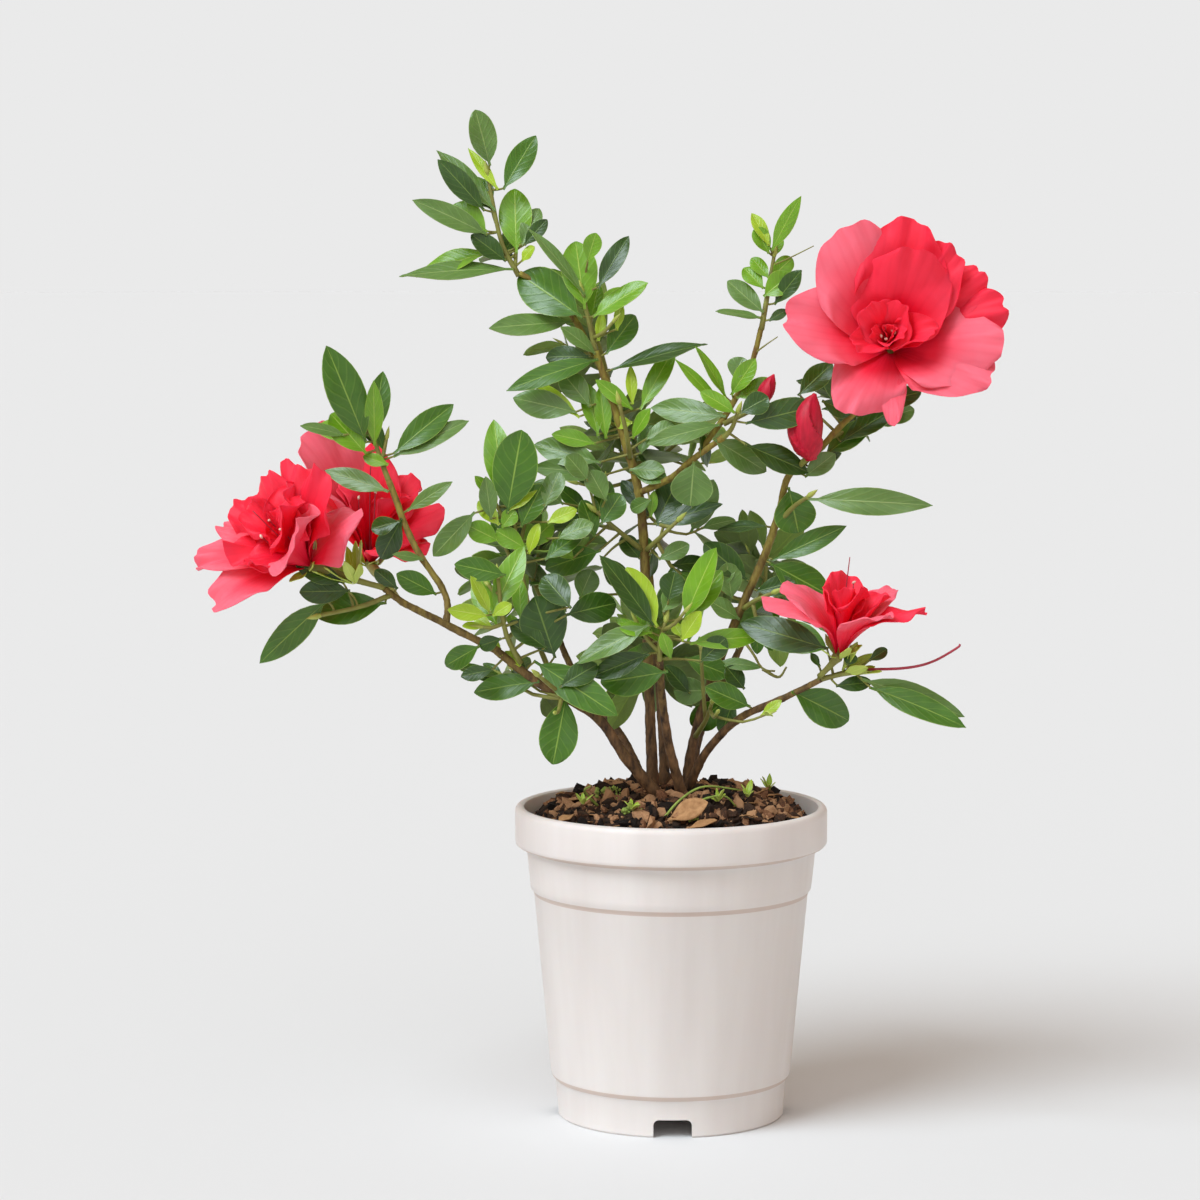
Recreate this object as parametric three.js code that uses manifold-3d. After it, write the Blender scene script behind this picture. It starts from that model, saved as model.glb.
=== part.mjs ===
// A potted azalea shrub: a moulded plant pot filled with bark soil, five woody stems that rise
// from it, the boughs that leave them, masses of leafy twigs, red blooms and two flower buds.
// Millimetres, +Z up. The origin is the middle of the pot's flat underside and -Y is the front.

import * as THREE from 'three';
import { mergeVertices } from 'three/addons/utils/BufferGeometryUtils.js';
import Module from 'manifold-3d';

const wasm = await Module();
wasm.setup();

// The pot: a nursery pot with a deep rim, a plain band, a tapering body and a stepped-in foot.
const POT_HEIGHT = 120;
const RIM_RADIUS = 60;
const RIM_BOTTOM = 105.5;
const LIP_WIDTH = 3.7;
const BAND_TOP = 102;
const BAND_TOP_RADIUS = 55.4;
const BAND_BOTTOM = 91;
const BAND_BOTTOM_RADIUS = 54.3;
const BODY_TOP = 87;
const BODY_TOP_RADIUS = 52.7;
const BODY_BOTTOM = 17;
const BODY_BOTTOM_RADIUS = 46.3;
const FOOT_TOP = 14;
const FOOT_RADIUS = 43.9;
const WALL = 1.8;
const FLOOR_UNDERSIDE = 8;
const CENTRE_FOOT_RADIUS = 14.5;
const POT_SIDES = 32;
const NOTCH_WIDTH = 14.5;
const NOTCH_HEIGHT = 7;
const NOTCHES = 4;
const POT_EDGE = 0.8;
const RIM_EDGE = 1.6;

// The soil: a low mound of bark chips, level in the middle where the stems stand.
const SOIL_EDGE = 114.5;
const SOIL_SHOULDER = 120.5;
const SOIL_SHOULDER_RADIUS = 44;
const SOIL_LEVEL = 125.5;
const SOIL_LEVEL_RADIUS = 27;
const GAP = 0.3;
const STEM_FOOT = SOIL_LEVEL + GAP;

// The limbs: they flare out to the soil, and everything else keeps clear of them.
const LIMB_SIDES = 7;
const FLARE = 0.45;
const FLARE_HEIGHT = 7;
const BEAD_SPACING = 3;

// The leaves: how thick and how broad one is, and how far apart two of one mass keep.
const GOLDEN_ANGLE = 137.5;
const LEAF_THICKNESS = 1.1;
const LEAF_SHAPE = 0.42;
const LEAF_SPACING = 5.5;
const LEAF_CLEARANCE = 0.7;
const LOWEST_LEAF = 126;
const SPACE_MARGIN = 1.3;

// A whorl: the length of twig it takes up, the angles at which its lowest and highest leaves lean
// out, how much shorter the highest are, and how a leaf's face leans to the light.
const WHORL = {
  depth: 8,
  share: 0.7,
  rootSink: 0.2,
  lowestOut: 78,
  highestOut: 26,
  outSway: 20,
  highestScale: 0.66,
  leastCurl: 0.04,
  curlRange: 0.14,
  lightHeight: 0.75,
  faceToLight: 0.9,
  faceToTwig: 0.45,
  faceSway: 0.7,
};

// The twigs: a mass's stem tapers to the radius of its twigs, and each twig lifts at its end.
const TWIG = {
  radius: 1.2,
  stemScale: 1.3,
  tipScale: 0.8,
  sides: 3,
  steps: 2,
  stemStep: 11,
  last: 0.8,
  lowestScale: 1.15,
  highestScale: 0.75,
  middleAt: 0.55,
  rise: 0.2,
  outSway: 20,
  turnSway: 30,
  clearance: 0.5,
};

const COLOURS = {
  pot: { color: 0xd9d0cf, roughness: 0.55, metalness: 0 },
  soil: { color: 0x4c3522, roughness: 0.95, metalness: 0 },
  bark: { color: 0x5a432d, roughness: 0.85, metalness: 0 },
  foliage: { color: 0x426224, roughness: 0.5, metalness: 0 },
  petal: { color: 0xfb3a4c, roughness: 0.6, metalness: 0 },
};

const shrub = new THREE.Group();

function addMesh(name, geometry, look) {
  const mesh = new THREE.Mesh(geometry, new THREE.MeshStandardMaterial(COLOURS[look]));
  mesh.name = name;
  shrub.add(mesh);
}

// Solids: a closed geometry becomes a solid that can be joined and cut, and comes back as one.
function toSolid(geometry) {
  const bare = geometry.index ? geometry.toNonIndexed() : geometry.clone();
  bare.deleteAttribute('normal');
  bare.deleteAttribute('uv');
  const merged = mergeVertices(bare, 1e-4);
  return new wasm.Manifold(new wasm.Mesh({
    numProp: 3,
    vertProperties: Float32Array.from(merged.attributes.position.array),
    triVerts: Uint32Array.from(merged.index.array),
  }));
}

function toGeometry(solid) {
  const mesh = solid.getMesh();
  const geometry = new THREE.BufferGeometry();
  geometry.setAttribute('position', new THREE.BufferAttribute(mesh.vertProperties, 3));
  geometry.setIndex(new THREE.BufferAttribute(mesh.triVerts, 1));
  return geometry;
}

// Joins solids in pairs, fills any hollow that this seals and drops any loose scrap.
function join(solids) {
  let layer = solids;
  while (layer.length > 1) {
    const next = [];
    for (let i = 0; i < layer.length; i += 2) {
      next.push(i + 1 < layer.length ? layer[i].add(layer[i + 1]) : layer[i]);
    }
    layer = next;
  }
  return layer[0].decompose().reduce((a, b) => (a.volume() > b.volume() ? a : b));
}

// Directions and numbers.
const UP = new THREE.Vector3(0, 0, 1);
const BACK = new THREE.Vector3(0, 1, 0);
const radians = THREE.MathUtils.degToRad;
const mix = THREE.MathUtils.lerp;
const toPoint = (values) => new THREE.Vector3(...values);

function numberStream(seed) {
  const cycle = 2 ** 32;
  let state = seed * 7919 + 17;
  return () => {
    state = (state * 1664525 + 1013904223) % cycle;
    return state / cycle;
  };
}

const sway = (draw, range) => range * (draw() - 0.5);
const varied = (draw) => 1 + sway(draw, 0.3);

// A direction that leans out from an axis by one angle and round it by another, where a turn
// of zero is to the right as the front view shows it.
function leaningOut(axis, turn, out) {
  const reference = Math.abs(axis.y) > 0.95 ? UP : BACK;
  const right = new THREE.Vector3().crossVectors(axis, reference).negate().normalize();
  const other = new THREE.Vector3().crossVectors(axis, right);
  return axis.clone().multiplyScalar(Math.cos(radians(out)))
    .addScaledVector(right, Math.sin(radians(out)) * Math.cos(radians(turn)))
    .addScaledVector(other, Math.sin(radians(out)) * Math.sin(radians(turn)))
    .normalize();
}

// A limb: a round bar bent along a smooth route, tapering from its foot to its tip. A limb that
// stands on the soil has a flat level cut and flares out to it.
function smoothRoute(points) {
  return new THREE.CatmullRomCurve3(points, false, 'catmullrom', 0.5);
}

function limbSolid(points, footRadius, tipRadius, sides, steps, standsOnSoil = false) {
  const route = smoothRoute(points);
  const length = route.getLength();
  const bar = new THREE.CylinderGeometry(1, 1, 1, sides, steps).rotateX(Math.PI / 2);
  const places = bar.attributes.position;
  const rings = [];
  let side = null;
  for (let step = 0; step <= steps; step += 1) {
    const centre = route.getPoint(step / steps);
    const along = route.getTangent(step / steps);
    const start = side ?? (Math.abs(along.y) > 0.95 ? UP.clone() : BACK.clone());
    side = start.addScaledVector(along, -start.dot(along)).normalize();
    rings.push({ centre, along, side: side.clone(), across: along.clone().cross(side) });
  }
  for (let i = 0; i < places.count; i += 1) {
    const t = places.getZ(i) + 0.5;
    const ring = rings[Math.round(t * steps)];
    const flare = standsOnSoil ? 1 + FLARE * Math.exp((-t * length) / FLARE_HEIGHT) : 1;
    const radius = mix(footRadius, tipRadius, t) * flare;
    const place = ring.centre.clone()
      .addScaledVector(ring.side, places.getX(i) * radius)
      .addScaledVector(ring.across, places.getY(i) * radius);
    if (standsOnSoil && ring === rings[0]) {
      place.addScaledVector(ring.along, (STEM_FOOT - place.z) / ring.along.z);
    }
    places.setXYZ(i, place.x, place.y, place.z);
  }
  return toSolid(bar);
}

// A leaf: a pointed oval blade of twelve faces, level above and keeled below along its midrib.
// Its outline is widest past the middle and its tip curls down.
const BLADE = new THREE.SphereGeometry(1, 3, 3);
const BLADE_RINGS = [1, 0.5, -0.5, -1];
const LEAF_RINGS = [
  { along: 0, width: 0 },
  { along: 0.36, width: 0.72 },
  { along: 0.7, width: 1 },
  { along: 1, width: 0 },
];

function leafPoint(leaf, ring, side, depth) {
  const { along, width } = LEAF_RINGS[ring];
  const across = new THREE.Vector3().crossVectors(leaf.direction, leaf.face);
  const droop = -leaf.curl * leaf.length * along * along;
  return leaf.root.clone()
    .addScaledVector(leaf.direction, leaf.length * along)
    .addScaledVector(across, (side * width * leaf.width) / 2)
    .addScaledVector(leaf.face, droop + depth * width);
}

function leafSolid(leaf) {
  const blade = BLADE.clone();
  const places = blade.attributes.position;
  for (let i = 0; i < places.count; i += 1) {
    const ring = BLADE_RINGS.findIndex((height) => Math.abs(places.getY(i) - height) < 0.1);
    const onKeel = places.getX(i) < -0.1;
    const side = onKeel || Math.abs(places.getZ(i)) < 0.1 ? 0 : Math.sign(places.getZ(i));
    const place = leafPoint(leaf, ring, side, onKeel ? -LEAF_THICKNESS : 0);
    places.setXYZ(i, place.x, place.y, place.z);
  }
  return toSolid(blade);
}

// The pot is turned about its axis, wall, lip, steps, floor and all, and then the drainage
// notches are cut through the foot ring.
function makePot() {
  const lipInside = RIM_RADIUS - LIP_WIDTH;
  const outline = [
    [0, 0],
    [CENTRE_FOOT_RADIUS, 0],
    [CENTRE_FOOT_RADIUS + 0.5, FLOOR_UNDERSIDE],
    [FOOT_RADIUS - WALL, FLOOR_UNDERSIDE],
    [FOOT_RADIUS - WALL, 0],
    [FOOT_RADIUS - POT_EDGE, 0],
    [FOOT_RADIUS, POT_EDGE],
    [FOOT_RADIUS + 0.5, FOOT_TOP],
    [BODY_BOTTOM_RADIUS, BODY_BOTTOM],
    [BODY_TOP_RADIUS, BODY_TOP],
    [BAND_BOTTOM_RADIUS, BAND_BOTTOM],
    [BAND_TOP_RADIUS, BAND_TOP],
    [RIM_RADIUS - POT_EDGE, RIM_BOTTOM],
    [RIM_RADIUS, RIM_BOTTOM + POT_EDGE],
    [RIM_RADIUS, POT_HEIGHT - RIM_EDGE],
    [RIM_RADIUS - RIM_EDGE / 3, POT_HEIGHT - RIM_EDGE / 3],
    [RIM_RADIUS - RIM_EDGE, POT_HEIGHT],
    [lipInside + POT_EDGE, POT_HEIGHT],
    [lipInside, POT_HEIGHT - POT_EDGE],
    [lipInside - 0.3, RIM_BOTTOM],
    [BAND_TOP_RADIUS - WALL, BAND_TOP - 1],
    [BODY_TOP_RADIUS - WALL, BODY_TOP],
    [BODY_BOTTOM_RADIUS - WALL, BODY_BOTTOM],
    [FOOT_RADIUS - WALL, FLOOR_UNDERSIDE + WALL],
    [0, FLOOR_UNDERSIDE + WALL],
  ];
  const shell = new THREE.LatheGeometry(outline.map(([r, z]) => new THREE.Vector2(r, z)), POT_SIDES);
  let pot = toSolid(shell.rotateX(Math.PI / 2));
  for (let i = 0; i < NOTCHES; i += 1) {
    const notch = new THREE.BoxGeometry(NOTCH_WIDTH, FOOT_RADIUS / 2, NOTCH_HEIGHT * 2)
      .translate(0, -FOOT_RADIUS, 0)
      .rotateZ((i * 2 * Math.PI) / NOTCHES);
    pot = pot.subtract(toSolid(notch));
  }
  addMesh('pot', toGeometry(pot), 'pot');
}

// The soil fills the pot, a hair clear of its wall and floor, and rises to a level middle.
function makeSoil() {
  const clear = WALL + GAP;
  const outline = [
    [0, FLOOR_UNDERSIDE + clear],
    [FOOT_RADIUS - clear - GAP, FLOOR_UNDERSIDE + clear],
    [BODY_TOP_RADIUS - clear - 0.1, BODY_TOP],
    [BAND_TOP_RADIUS - clear - 0.4, BAND_TOP],
    [RIM_RADIUS - LIP_WIDTH - 0.8, SOIL_EDGE],
    [SOIL_SHOULDER_RADIUS, SOIL_SHOULDER],
    [SOIL_LEVEL_RADIUS, SOIL_LEVEL],
    [0, SOIL_LEVEL],
  ];
  const mound = new THREE.LatheGeometry(outline.map(([r, z]) => new THREE.Vector2(r, z)), POT_SIDES);
  addMesh('soil', toGeometry(toSolid(mound.rotateX(Math.PI / 2))), 'soil');
}

// The stems stand on the soil, each on its own flat cut: route, radius at foot and tip, steps.
const STEMS = {
  stem_left: {
    route: [[-5, -18, STEM_FOOT], [-17, -24, 141], [-29, -28, 158], [-50, -33, 171], [-66, -38, 184]],
    foot: 2.2,
    tip: 1.5,
    steps: 9,
  },
  stem_centre: {
    route: [[-7, 0, STEM_FOOT], [-9, 0, 178], [-11.5, 0, 233], [-18, 0, 260], [-29, 0, 294]],
    foot: 2.1,
    tip: 1.3,
    steps: 11,
  },
  stem_behind: {
    route: [[-2, 11, STEM_FOOT], [-4, 18, 160], [-8, 30, 205], [-12, 44, 240]],
    foot: 1.9,
    tip: 1.2,
    steps: 8,
  },
  stem_front: {
    route: [[4, -15, STEM_FOOT], [-1, -22, 145], [-4, -30, 165], [-5, -36, 180]],
    foot: 1.9,
    tip: 1.3,
    steps: 6,
  },
  stem_right: {
    route: [[6, 5, STEM_FOOT], [9, 5, 145], [17.5, 1, 173], [26, -3, 195], [35, -6, 216], [41, -8, 234]],
    foot: 2.0,
    tip: 1.4,
    steps: 10,
  },
  stem_low_right: {
    route: [[6, -5, STEM_FOOT], [13, -13, 142], [25, -25, 156.5], [42, -38, 166.5], [55, -45, 174]],
    foot: 1.7,
    tip: 1.1,
    steps: 8,
  },
  stem_back_left: {
    route: [[-10, 11, STEM_FOOT], [-19, 26, 143], [-36, 42, 163], [-48, 50, 190]],
    foot: 1.8,
    tip: 1.1,
    steps: 7,
  },
  stem_back_right: {
    route: [[7, 14, STEM_FOOT], [13, 26, 148], [26, 40, 172], [34, 46, 190]],
    foot: 1.8,
    tip: 1.1,
    steps: 7,
  },
};

// The boughs: each leaves another limb at a fraction of its route, or runs on from its tip.
const BOUGHS = {
  bough_left: {
    on: 'stem_left',
    at: 1,
    route: [[-86, -42, 195], [-100, -45, 202.5], [-107, -47, 208]],
    foot: 1.45,
    tip: 1.2,
    steps: 5,
  },
  bough_left_upright: {
    on: 'bough_left',
    at: 0.3,
    route: [[-85, -37, 205], [-97, -34, 224], [-106, -32, 247]],
    foot: 1.3,
    tip: 1.1,
    steps: 6,
  },
  bough_top: {
    on: 'stem_centre',
    at: 0.93,
    route: [[-37, 5, 306], [-46, 6, 317], [-58, 6, 323.5]],
    foot: 1.2,
    tip: 1.0,
    steps: 6,
  },
  bough_middle_right: {
    on: 'stem_centre',
    at: 0.55,
    route: [[-1, -8, 246], [8, -15, 254], [19, -21, 262.5]],
    foot: 1.3,
    tip: 1.1,
    steps: 5,
  },
  bough_upper_right: {
    on: 'bough_middle_right',
    at: 0.7,
    route: [[21, -14, 272], [29, -15, 288], [33.5, -15, 304]],
    foot: 1.15,
    tip: 1.0,
    steps: 5,
  },
  bough_right: {
    on: 'stem_right',
    at: 1,
    route: [[44, -10, 247], [55, -12, 257], [67, -15, 270], [78, -17, 279]],
    foot: 1.35,
    tip: 1.1,
    steps: 7,
  },
};

// The masses of foliage. Each has its own stem, which runs on from the tip of a limb or leaves
// its side, and keeps to its own space: the points that lie nearer to its heart than to any
// other heart, when each distance is taken less that heart's reach.
const MASSES = {
  foliage_top: {
    heart: [-70, 6, 352],
    reach: 42,
    on: 'bough_top',
    at: 1,
    stem: [[-65, 6, 336], [-70, 6, 361]],
    faces: -90,
    twigs: 5,
    first: 0.05,
    spread: 37,
    twig: 9,
    leaves: 3,
    leaf: 34,
    turn: 40,
    seed: 224,
  },
  foliage_upper: {
    heart: [-30, 0, 311],
    reach: 38,
    on: 'stem_centre',
    at: 1,
    stem: [[-31, -2, 303], [-34, -4, 316]],
    faces: -90,
    twigs: 4,
    first: 0.02,
    spread: 73,
    twig: 11,
    leaves: 5,
    leaf: 33,
    turn: 175,
    seed: 389,
  },
  foliage_middle: {
    heart: [-20, -22, 270],
    reach: 39,
    on: 'stem_centre',
    at: 0.68,
    stem: [[-17, -12, 262], [-20, -17, 275]],
    faces: -90,
    twigs: 4,
    first: 0.2,
    spread: 84,
    twig: 25,
    leaves: 6,
    leaf: 23,
    turn: 110,
    seed: 361,
  },
  foliage_middle_right: {
    heart: [25, -26, 272],
    reach: 34,
    on: 'bough_middle_right',
    at: 1,
    stem: [[22, -24, 266], [24, -27, 272]],
    faces: -90,
    twigs: 4,
    first: 0.3,
    spread: 50,
    twig: 23,
    leaves: 7,
    leaf: 32,
    turn: 325,
    seed: 831,
  },
  foliage_upper_right: {
    heart: [36, -14, 326],
    reach: 28,
    on: 'bough_upper_right',
    at: 1,
    stem: [[36, -14, 318], [38, -13, 330]],
    faces: -90,
    twigs: 1,
    first: 0.1,
    spread: 20,
    twig: 5,
    leaves: 5,
    leaf: 24,
    turn: 275,
    seed: 256,
  },
  foliage_right: {
    heart: [62, -20, 240],
    reach: 36,
    on: 'stem_right',
    at: 0.93,
    stem: [[46, -14, 236], [51, -18, 240]],
    faces: -90,
    twigs: 2,
    first: 0.3,
    spread: 55,
    twig: 5,
    leaves: 3,
    leaf: 47,
    turn: 285,
    seed: 516,
  },
  foliage_right_crest: {
    heart: [84, 4, 270],
    reach: 29,
    on: 'bough_right',
    at: 0.6,
    stem: [[68, -6, 265], [76, -2, 271]],
    faces: -90,
    twigs: 2,
    first: 0.4,
    spread: 90,
    twig: 21,
    leaves: 6,
    leaf: 27,
    turn: 345,
    seed: 157,
  },
  foliage_right_low: {
    heart: [38, -12, 198],
    reach: 30,
    on: 'stem_right',
    at: 0.6,
    stem: [[32, -10, 200], [38, -13, 203]],
    faces: -90,
    twigs: 1,
    first: 0.3,
    spread: 103,
    twig: 12,
    leaves: 4,
    leaf: 33,
    turn: 345,
    seed: 279,
  },
  foliage_low_right: {
    heart: [72, -52, 171],
    reach: 31,
    on: 'stem_low_right',
    at: 1,
    stem: [[61, -48, 176], [67, -50, 177]],
    faces: -90,
    twigs: 1,
    first: 0.3,
    spread: 24,
    twig: 15,
    leaves: 5,
    leaf: 42,
    turn: 245,
    seed: 727,
  },
  foliage_low_centre: {
    heart: [16, -24, 162],
    reach: 30,
    on: 'stem_right',
    at: 0.2,
    stem: [[13, -10, 154], [15, -20, 162]],
    faces: -90,
    twigs: 2,
    first: 0.5,
    spread: 55,
    twig: 28,
    leaves: 5,
    leaf: 17,
    turn: 135,
    seed: 661,
  },
  foliage_front: {
    heart: [-4, -46, 192],
    reach: 35,
    on: 'stem_front',
    at: 1,
    stem: [[-5, -38, 187], [-3, -40, 195]],
    faces: -90,
    twigs: 2,
    first: 0.2,
    spread: 49,
    twig: 12,
    leaves: 8,
    leaf: 31,
    turn: 175,
    seed: 509,
  },
  foliage_centre: {
    heart: [2, -2, 228],
    reach: 36,
    on: 'stem_centre',
    at: 0.42,
    stem: [[-4, -7, 224], [2, -9, 230]],
    faces: -90,
    twigs: 2,
    first: 0.3,
    spread: 113,
    twig: 21,
    leaves: 4,
    leaf: 27,
    turn: 355,
    seed: 854,
  },
  foliage_centre_low: {
    heart: [-32, -12, 232],
    reach: 34,
    on: 'stem_centre',
    at: 0.42,
    stem: [[-20, -8, 226], [-29, -12, 234]],
    faces: -90,
    twigs: 5,
    first: 0.3,
    spread: 64,
    twig: 14,
    leaves: 4,
    leaf: 25,
    turn: 210,
    seed: 144,
  },
  foliage_centre_left: {
    heart: [-68, -44, 208],
    reach: 37,
    on: 'stem_left',
    at: 0.82,
    stem: [[-62, -42, 190], [-64, -46, 202], [-65, -46, 212]],
    faces: -90,
    twigs: 4,
    first: 0.3,
    spread: 84,
    twig: 9,
    leaves: 6,
    leaf: 22,
    turn: 60,
    seed: 65,
  },
  foliage_centre_high: {
    heart: [-60, -24, 246],
    reach: 38,
    on: 'stem_left',
    at: 0.66,
    stem: [[-52, -26, 190], [-58, -24, 220], [-61, -26, 244]],
    faces: -90,
    twigs: 5,
    first: 0.55,
    spread: 30,
    twig: 17,
    leaves: 6,
    leaf: 28,
    turn: 125,
    seed: 8,
  },
  foliage_low_left: {
    heart: [-50, -48, 170],
    reach: 40,
    on: 'stem_left',
    at: 0.5,
    stem: [[-44, -42, 170], [-50, -50, 176]],
    faces: -90,
    twigs: 5,
    first: 0.2,
    spread: 58,
    twig: 27,
    leaves: 3,
    leaf: 31,
    turn: 120,
    seed: 211,
  },
  foliage_left: {
    heart: [-112, -30, 268],
    reach: 36,
    on: 'bough_left_upright',
    at: 1,
    stem: [[-109, -32, 255], [-112, -32, 265]],
    faces: -90,
    twigs: 3,
    first: 0.1,
    spread: 37,
    twig: 7,
    leaves: 3,
    leaf: 34,
    turn: 200,
    seed: 458,
  },
  foliage_left_low: {
    heart: [-128, -58, 190],
    reach: 36,
    on: 'bough_left',
    at: 0.85,
    stem: [[-115, -52, 202], [-130, -57, 199]],
    faces: -90,
    twigs: 1,
    first: 0.3,
    spread: 85,
    twig: 10,
    leaves: 3,
    leaf: 42,
    turn: 265,
    seed: 321,
  },
  foliage_back_left: {
    heart: [-58, 58, 212],
    reach: 42,
    on: 'stem_back_left',
    at: 1,
    stem: [[-54, 55, 202], [-56, 59, 214]],
    faces: 120,
    twigs: 4,
    first: 0.1,
    spread: 89,
    twig: 15,
    leaves: 5,
    leaf: 33,
    turn: 215,
    seed: 223,
  },
  foliage_back_right: {
    heart: [38, 56, 208],
    reach: 40,
    on: 'stem_back_right',
    at: 1,
    stem: [[38, 51, 202], [38, 55, 214]],
    faces: 60,
    twigs: 3,
    first: 0.1,
    spread: 120,
    twig: 18,
    leaves: 3,
    leaf: 28,
    turn: 180,
    seed: 279,
  },
  foliage_behind: {
    heart: [-12, 57, 256],
    reach: 40,
    on: 'stem_behind',
    at: 1,
    stem: [[-14, 49, 252], [-14, 52, 266]],
    faces: 90,
    twigs: 4,
    first: 0.1,
    spread: 92,
    twig: 21,
    leaves: 6,
    leaf: 29,
    turn: 205,
    seed: 333,
  },
  foliage_back_top: {
    heart: [-30, 36, 304],
    reach: 37,
    on: 'stem_centre',
    at: 0.86,
    stem: [[-26, 14, 290], [-30, 26, 303]],
    faces: 100,
    twigs: 2,
    first: 0.3,
    spread: 30,
    twig: 20,
    leaves: 3,
    leaf: 28,
    turn: 120,
    seed: 588,
  },
  foliage_back_low: {
    heart: [-8, 58, 176],
    reach: 38,
    on: 'stem_behind',
    at: 0.4,
    stem: [[-8, 36, 172], [-8, 46, 178]],
    faces: 90,
    twigs: 3,
    first: 0.2,
    spread: 81,
    twig: 7,
    leaves: 5,
    leaf: 33,
    turn: 321,
    seed: 644,
  },
};

// The blooms, each on its own stalk: where the throat is, which way it faces, how many petals it
// has outside and inside, how long the outer ones are, and the angles between which they open.
const BLOOMS = {
  bloom_right: {
    heart: [84, -38, 303],
    reach: 46,
    on: 'bough_right',
    at: 1,
    stalk: [80, -22, 286],
    throat: [81, -26, 296],
    faces: [-0.12, -0.9, 0.35],
    petals: 6,
    inner: 5,
    petal: 54,
    start: 26,
    open: 95,
    notch: 0.2,
    turn: 20,
  },
  bloom_left_front: {
    heart: [-148, -70, 229],
    reach: 38,
    on: 'bough_left',
    at: 1,
    stalk: [-118, -53, 212],
    throat: [-135, -60, 219],
    faces: [-0.5, -0.62, 0.6],
    petals: 6,
    inner: 5,
    petal: 45,
    start: 26,
    open: 88,
    notch: 0.22,
    turn: 10,
  },
  bloom_left_back: {
    heart: [-116, 14, 245],
    reach: 35,
    on: 'bough_left',
    at: 0.72,
    stalk: [-106, -20, 205],
    throat: [-116, 10, 214],
    faces: [0.08, -0.08, 0.99],
    petals: 6,
    inner: 5,
    petal: 56,
    start: 14,
    open: 56,
    notch: 0.2,
    turn: 52,
  },
  bloom_low_right: {
    heart: [64, -52, 207],
    reach: 30,
    on: 'stem_low_right',
    at: 0.93,
    stalk: [58, -50, 180],
    throat: [61, -52, 186],
    faces: [0.1, -0.2, 0.97],
    petals: 5,
    inner: 0,
    petal: 45,
    start: 26,
    open: 82,
    notch: 0.55,
    turn: 15,
  },
};

// The flower buds, each on its own stalk and closed to a point.
const BUDS = {
  bud_large: {
    on: 'bough_right',
    at: 0.3,
    stalk: [52, -21, 254],
    tip: [53, -24, 279],
    radius: 7,
  },
  bud_small: {
    on: 'bough_upper_right',
    at: 0.2,
    stalk: [32, -18, 273],
    tip: [38, -18, 286],
    radius: 3.2,
  },
};

const HEARTS = Object.entries({ ...MASSES, ...BLOOMS })
  .map(([name, { heart, reach }]) => ({ name, heart: toPoint(heart), reach }));

// How far a point lies inside the space of the named mass: less than nothing is outside it.
function depthInSpace(name, point) {
  const own = HEARTS.find((heart) => heart.name === name);
  const measured = (heart) => point.distanceToSquared(heart.heart) - heart.reach * heart.reach;
  let depth = Infinity;
  for (const other of HEARTS) {
    if (other !== own) {
      const between = 2 * other.heart.distanceTo(own.heart);
      depth = Math.min(depth, (measured(other) - measured(own)) / between);
    }
  }
  return depth;
}

// The limbs, and the beads strung along each limb, mass's stem and bud that leaves keep clear of.
const limbs = {};
const beads = [];

function addBeads(owner, points, footRadius, tipRadius) {
  const route = smoothRoute(points);
  const count = Math.ceil(route.getLength() / BEAD_SPACING);
  for (let i = 0; i <= count; i += 1) {
    const radius = mix(footRadius, tipRadius, i / count);
    beads.push({ owner, centre: route.getPoint(i / count), radius });
  }
}

function isClear(point, room, owner) {
  return beads.every((bead) => bead.owner === owner
    || bead.centre.distanceTo(point) > bead.radius + room);
}

// Where a limb starts that leaves another one: clear of its side or just past its tip.
function startOn({ on, at }, toward, radius) {
  const carrier = limbs[on];
  const centre = carrier.route.getPoint(at);
  const axis = carrier.route.getTangent(at);
  const heading = toPoint(toward).sub(centre).normalize();
  const cosine = Math.abs(heading.dot(axis));
  const sine = Math.sqrt(1 - cosine * cosine);
  if (at === 1) {
    return centre.addScaledVector(axis, GAP + radius * sine + 0.02);
  }
  const carrierRadius = mix(carrier.foot, carrier.tip, at);
  return centre.addScaledVector(heading, (carrierRadius + GAP + radius * cosine) / sine + 0.1);
}

function routeOf(limb, points, radius) {
  const onward = points.map(toPoint);
  return limb.on ? [startOn(limb, points[0], radius), ...onward] : onward;
}

for (const [name, limb] of Object.entries({ ...STEMS, ...BOUGHS })) {
  const points = routeOf(limb, limb.route, limb.foot);
  limbs[name] = { ...limb, points, route: smoothRoute(points) };
  addBeads(name, points, limb.foot, limb.tip);
}
for (const [name, mass] of Object.entries(MASSES)) {
  mass.points = routeOf(mass, mass.stem, TWIG.radius * TWIG.stemScale);
  addBeads(name, mass.points, TWIG.radius * TWIG.stemScale, TWIG.radius);
}
for (const [name, bud] of Object.entries(BUDS)) {
  addBeads(name, [toPoint(bud.stalk), toPoint(bud.tip)], bud.radius, bud.radius);
}

// The spots along a leaf's midrib where it is tried for room, each with the share of the leaf's
// width that the blade reaches to either side of it.
const MIDRIB_SPOTS = [
  { share: 0.37, at: (near) => near.clone() },
  { share: 0.45, at: (near, broad) => near.clone().lerp(broad, 0.5) },
  { share: 0.5, at: (near, broad) => broad.clone() },
  { share: 0.3, at: (near, broad, tip) => broad.clone().lerp(tip, 0.5) },
  { share: 0.05, at: (near, broad, tip) => tip.clone() },
];

function midribOf(leaf) {
  const rings = [1, 2, 3].map((ring) => leafPoint(leaf, ring, 0, 0));
  return MIDRIB_SPOTS.map((spot) => spot.at(...rings));
}

// Leaves of one mass may meet at their roots, but their outer parts keep apart.
function keepsApart(leaf, other) {
  return leaf.midrib.every((a) => other.midrib.every((b) => a.distanceTo(b) > LEAF_SPACING));
}

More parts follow.
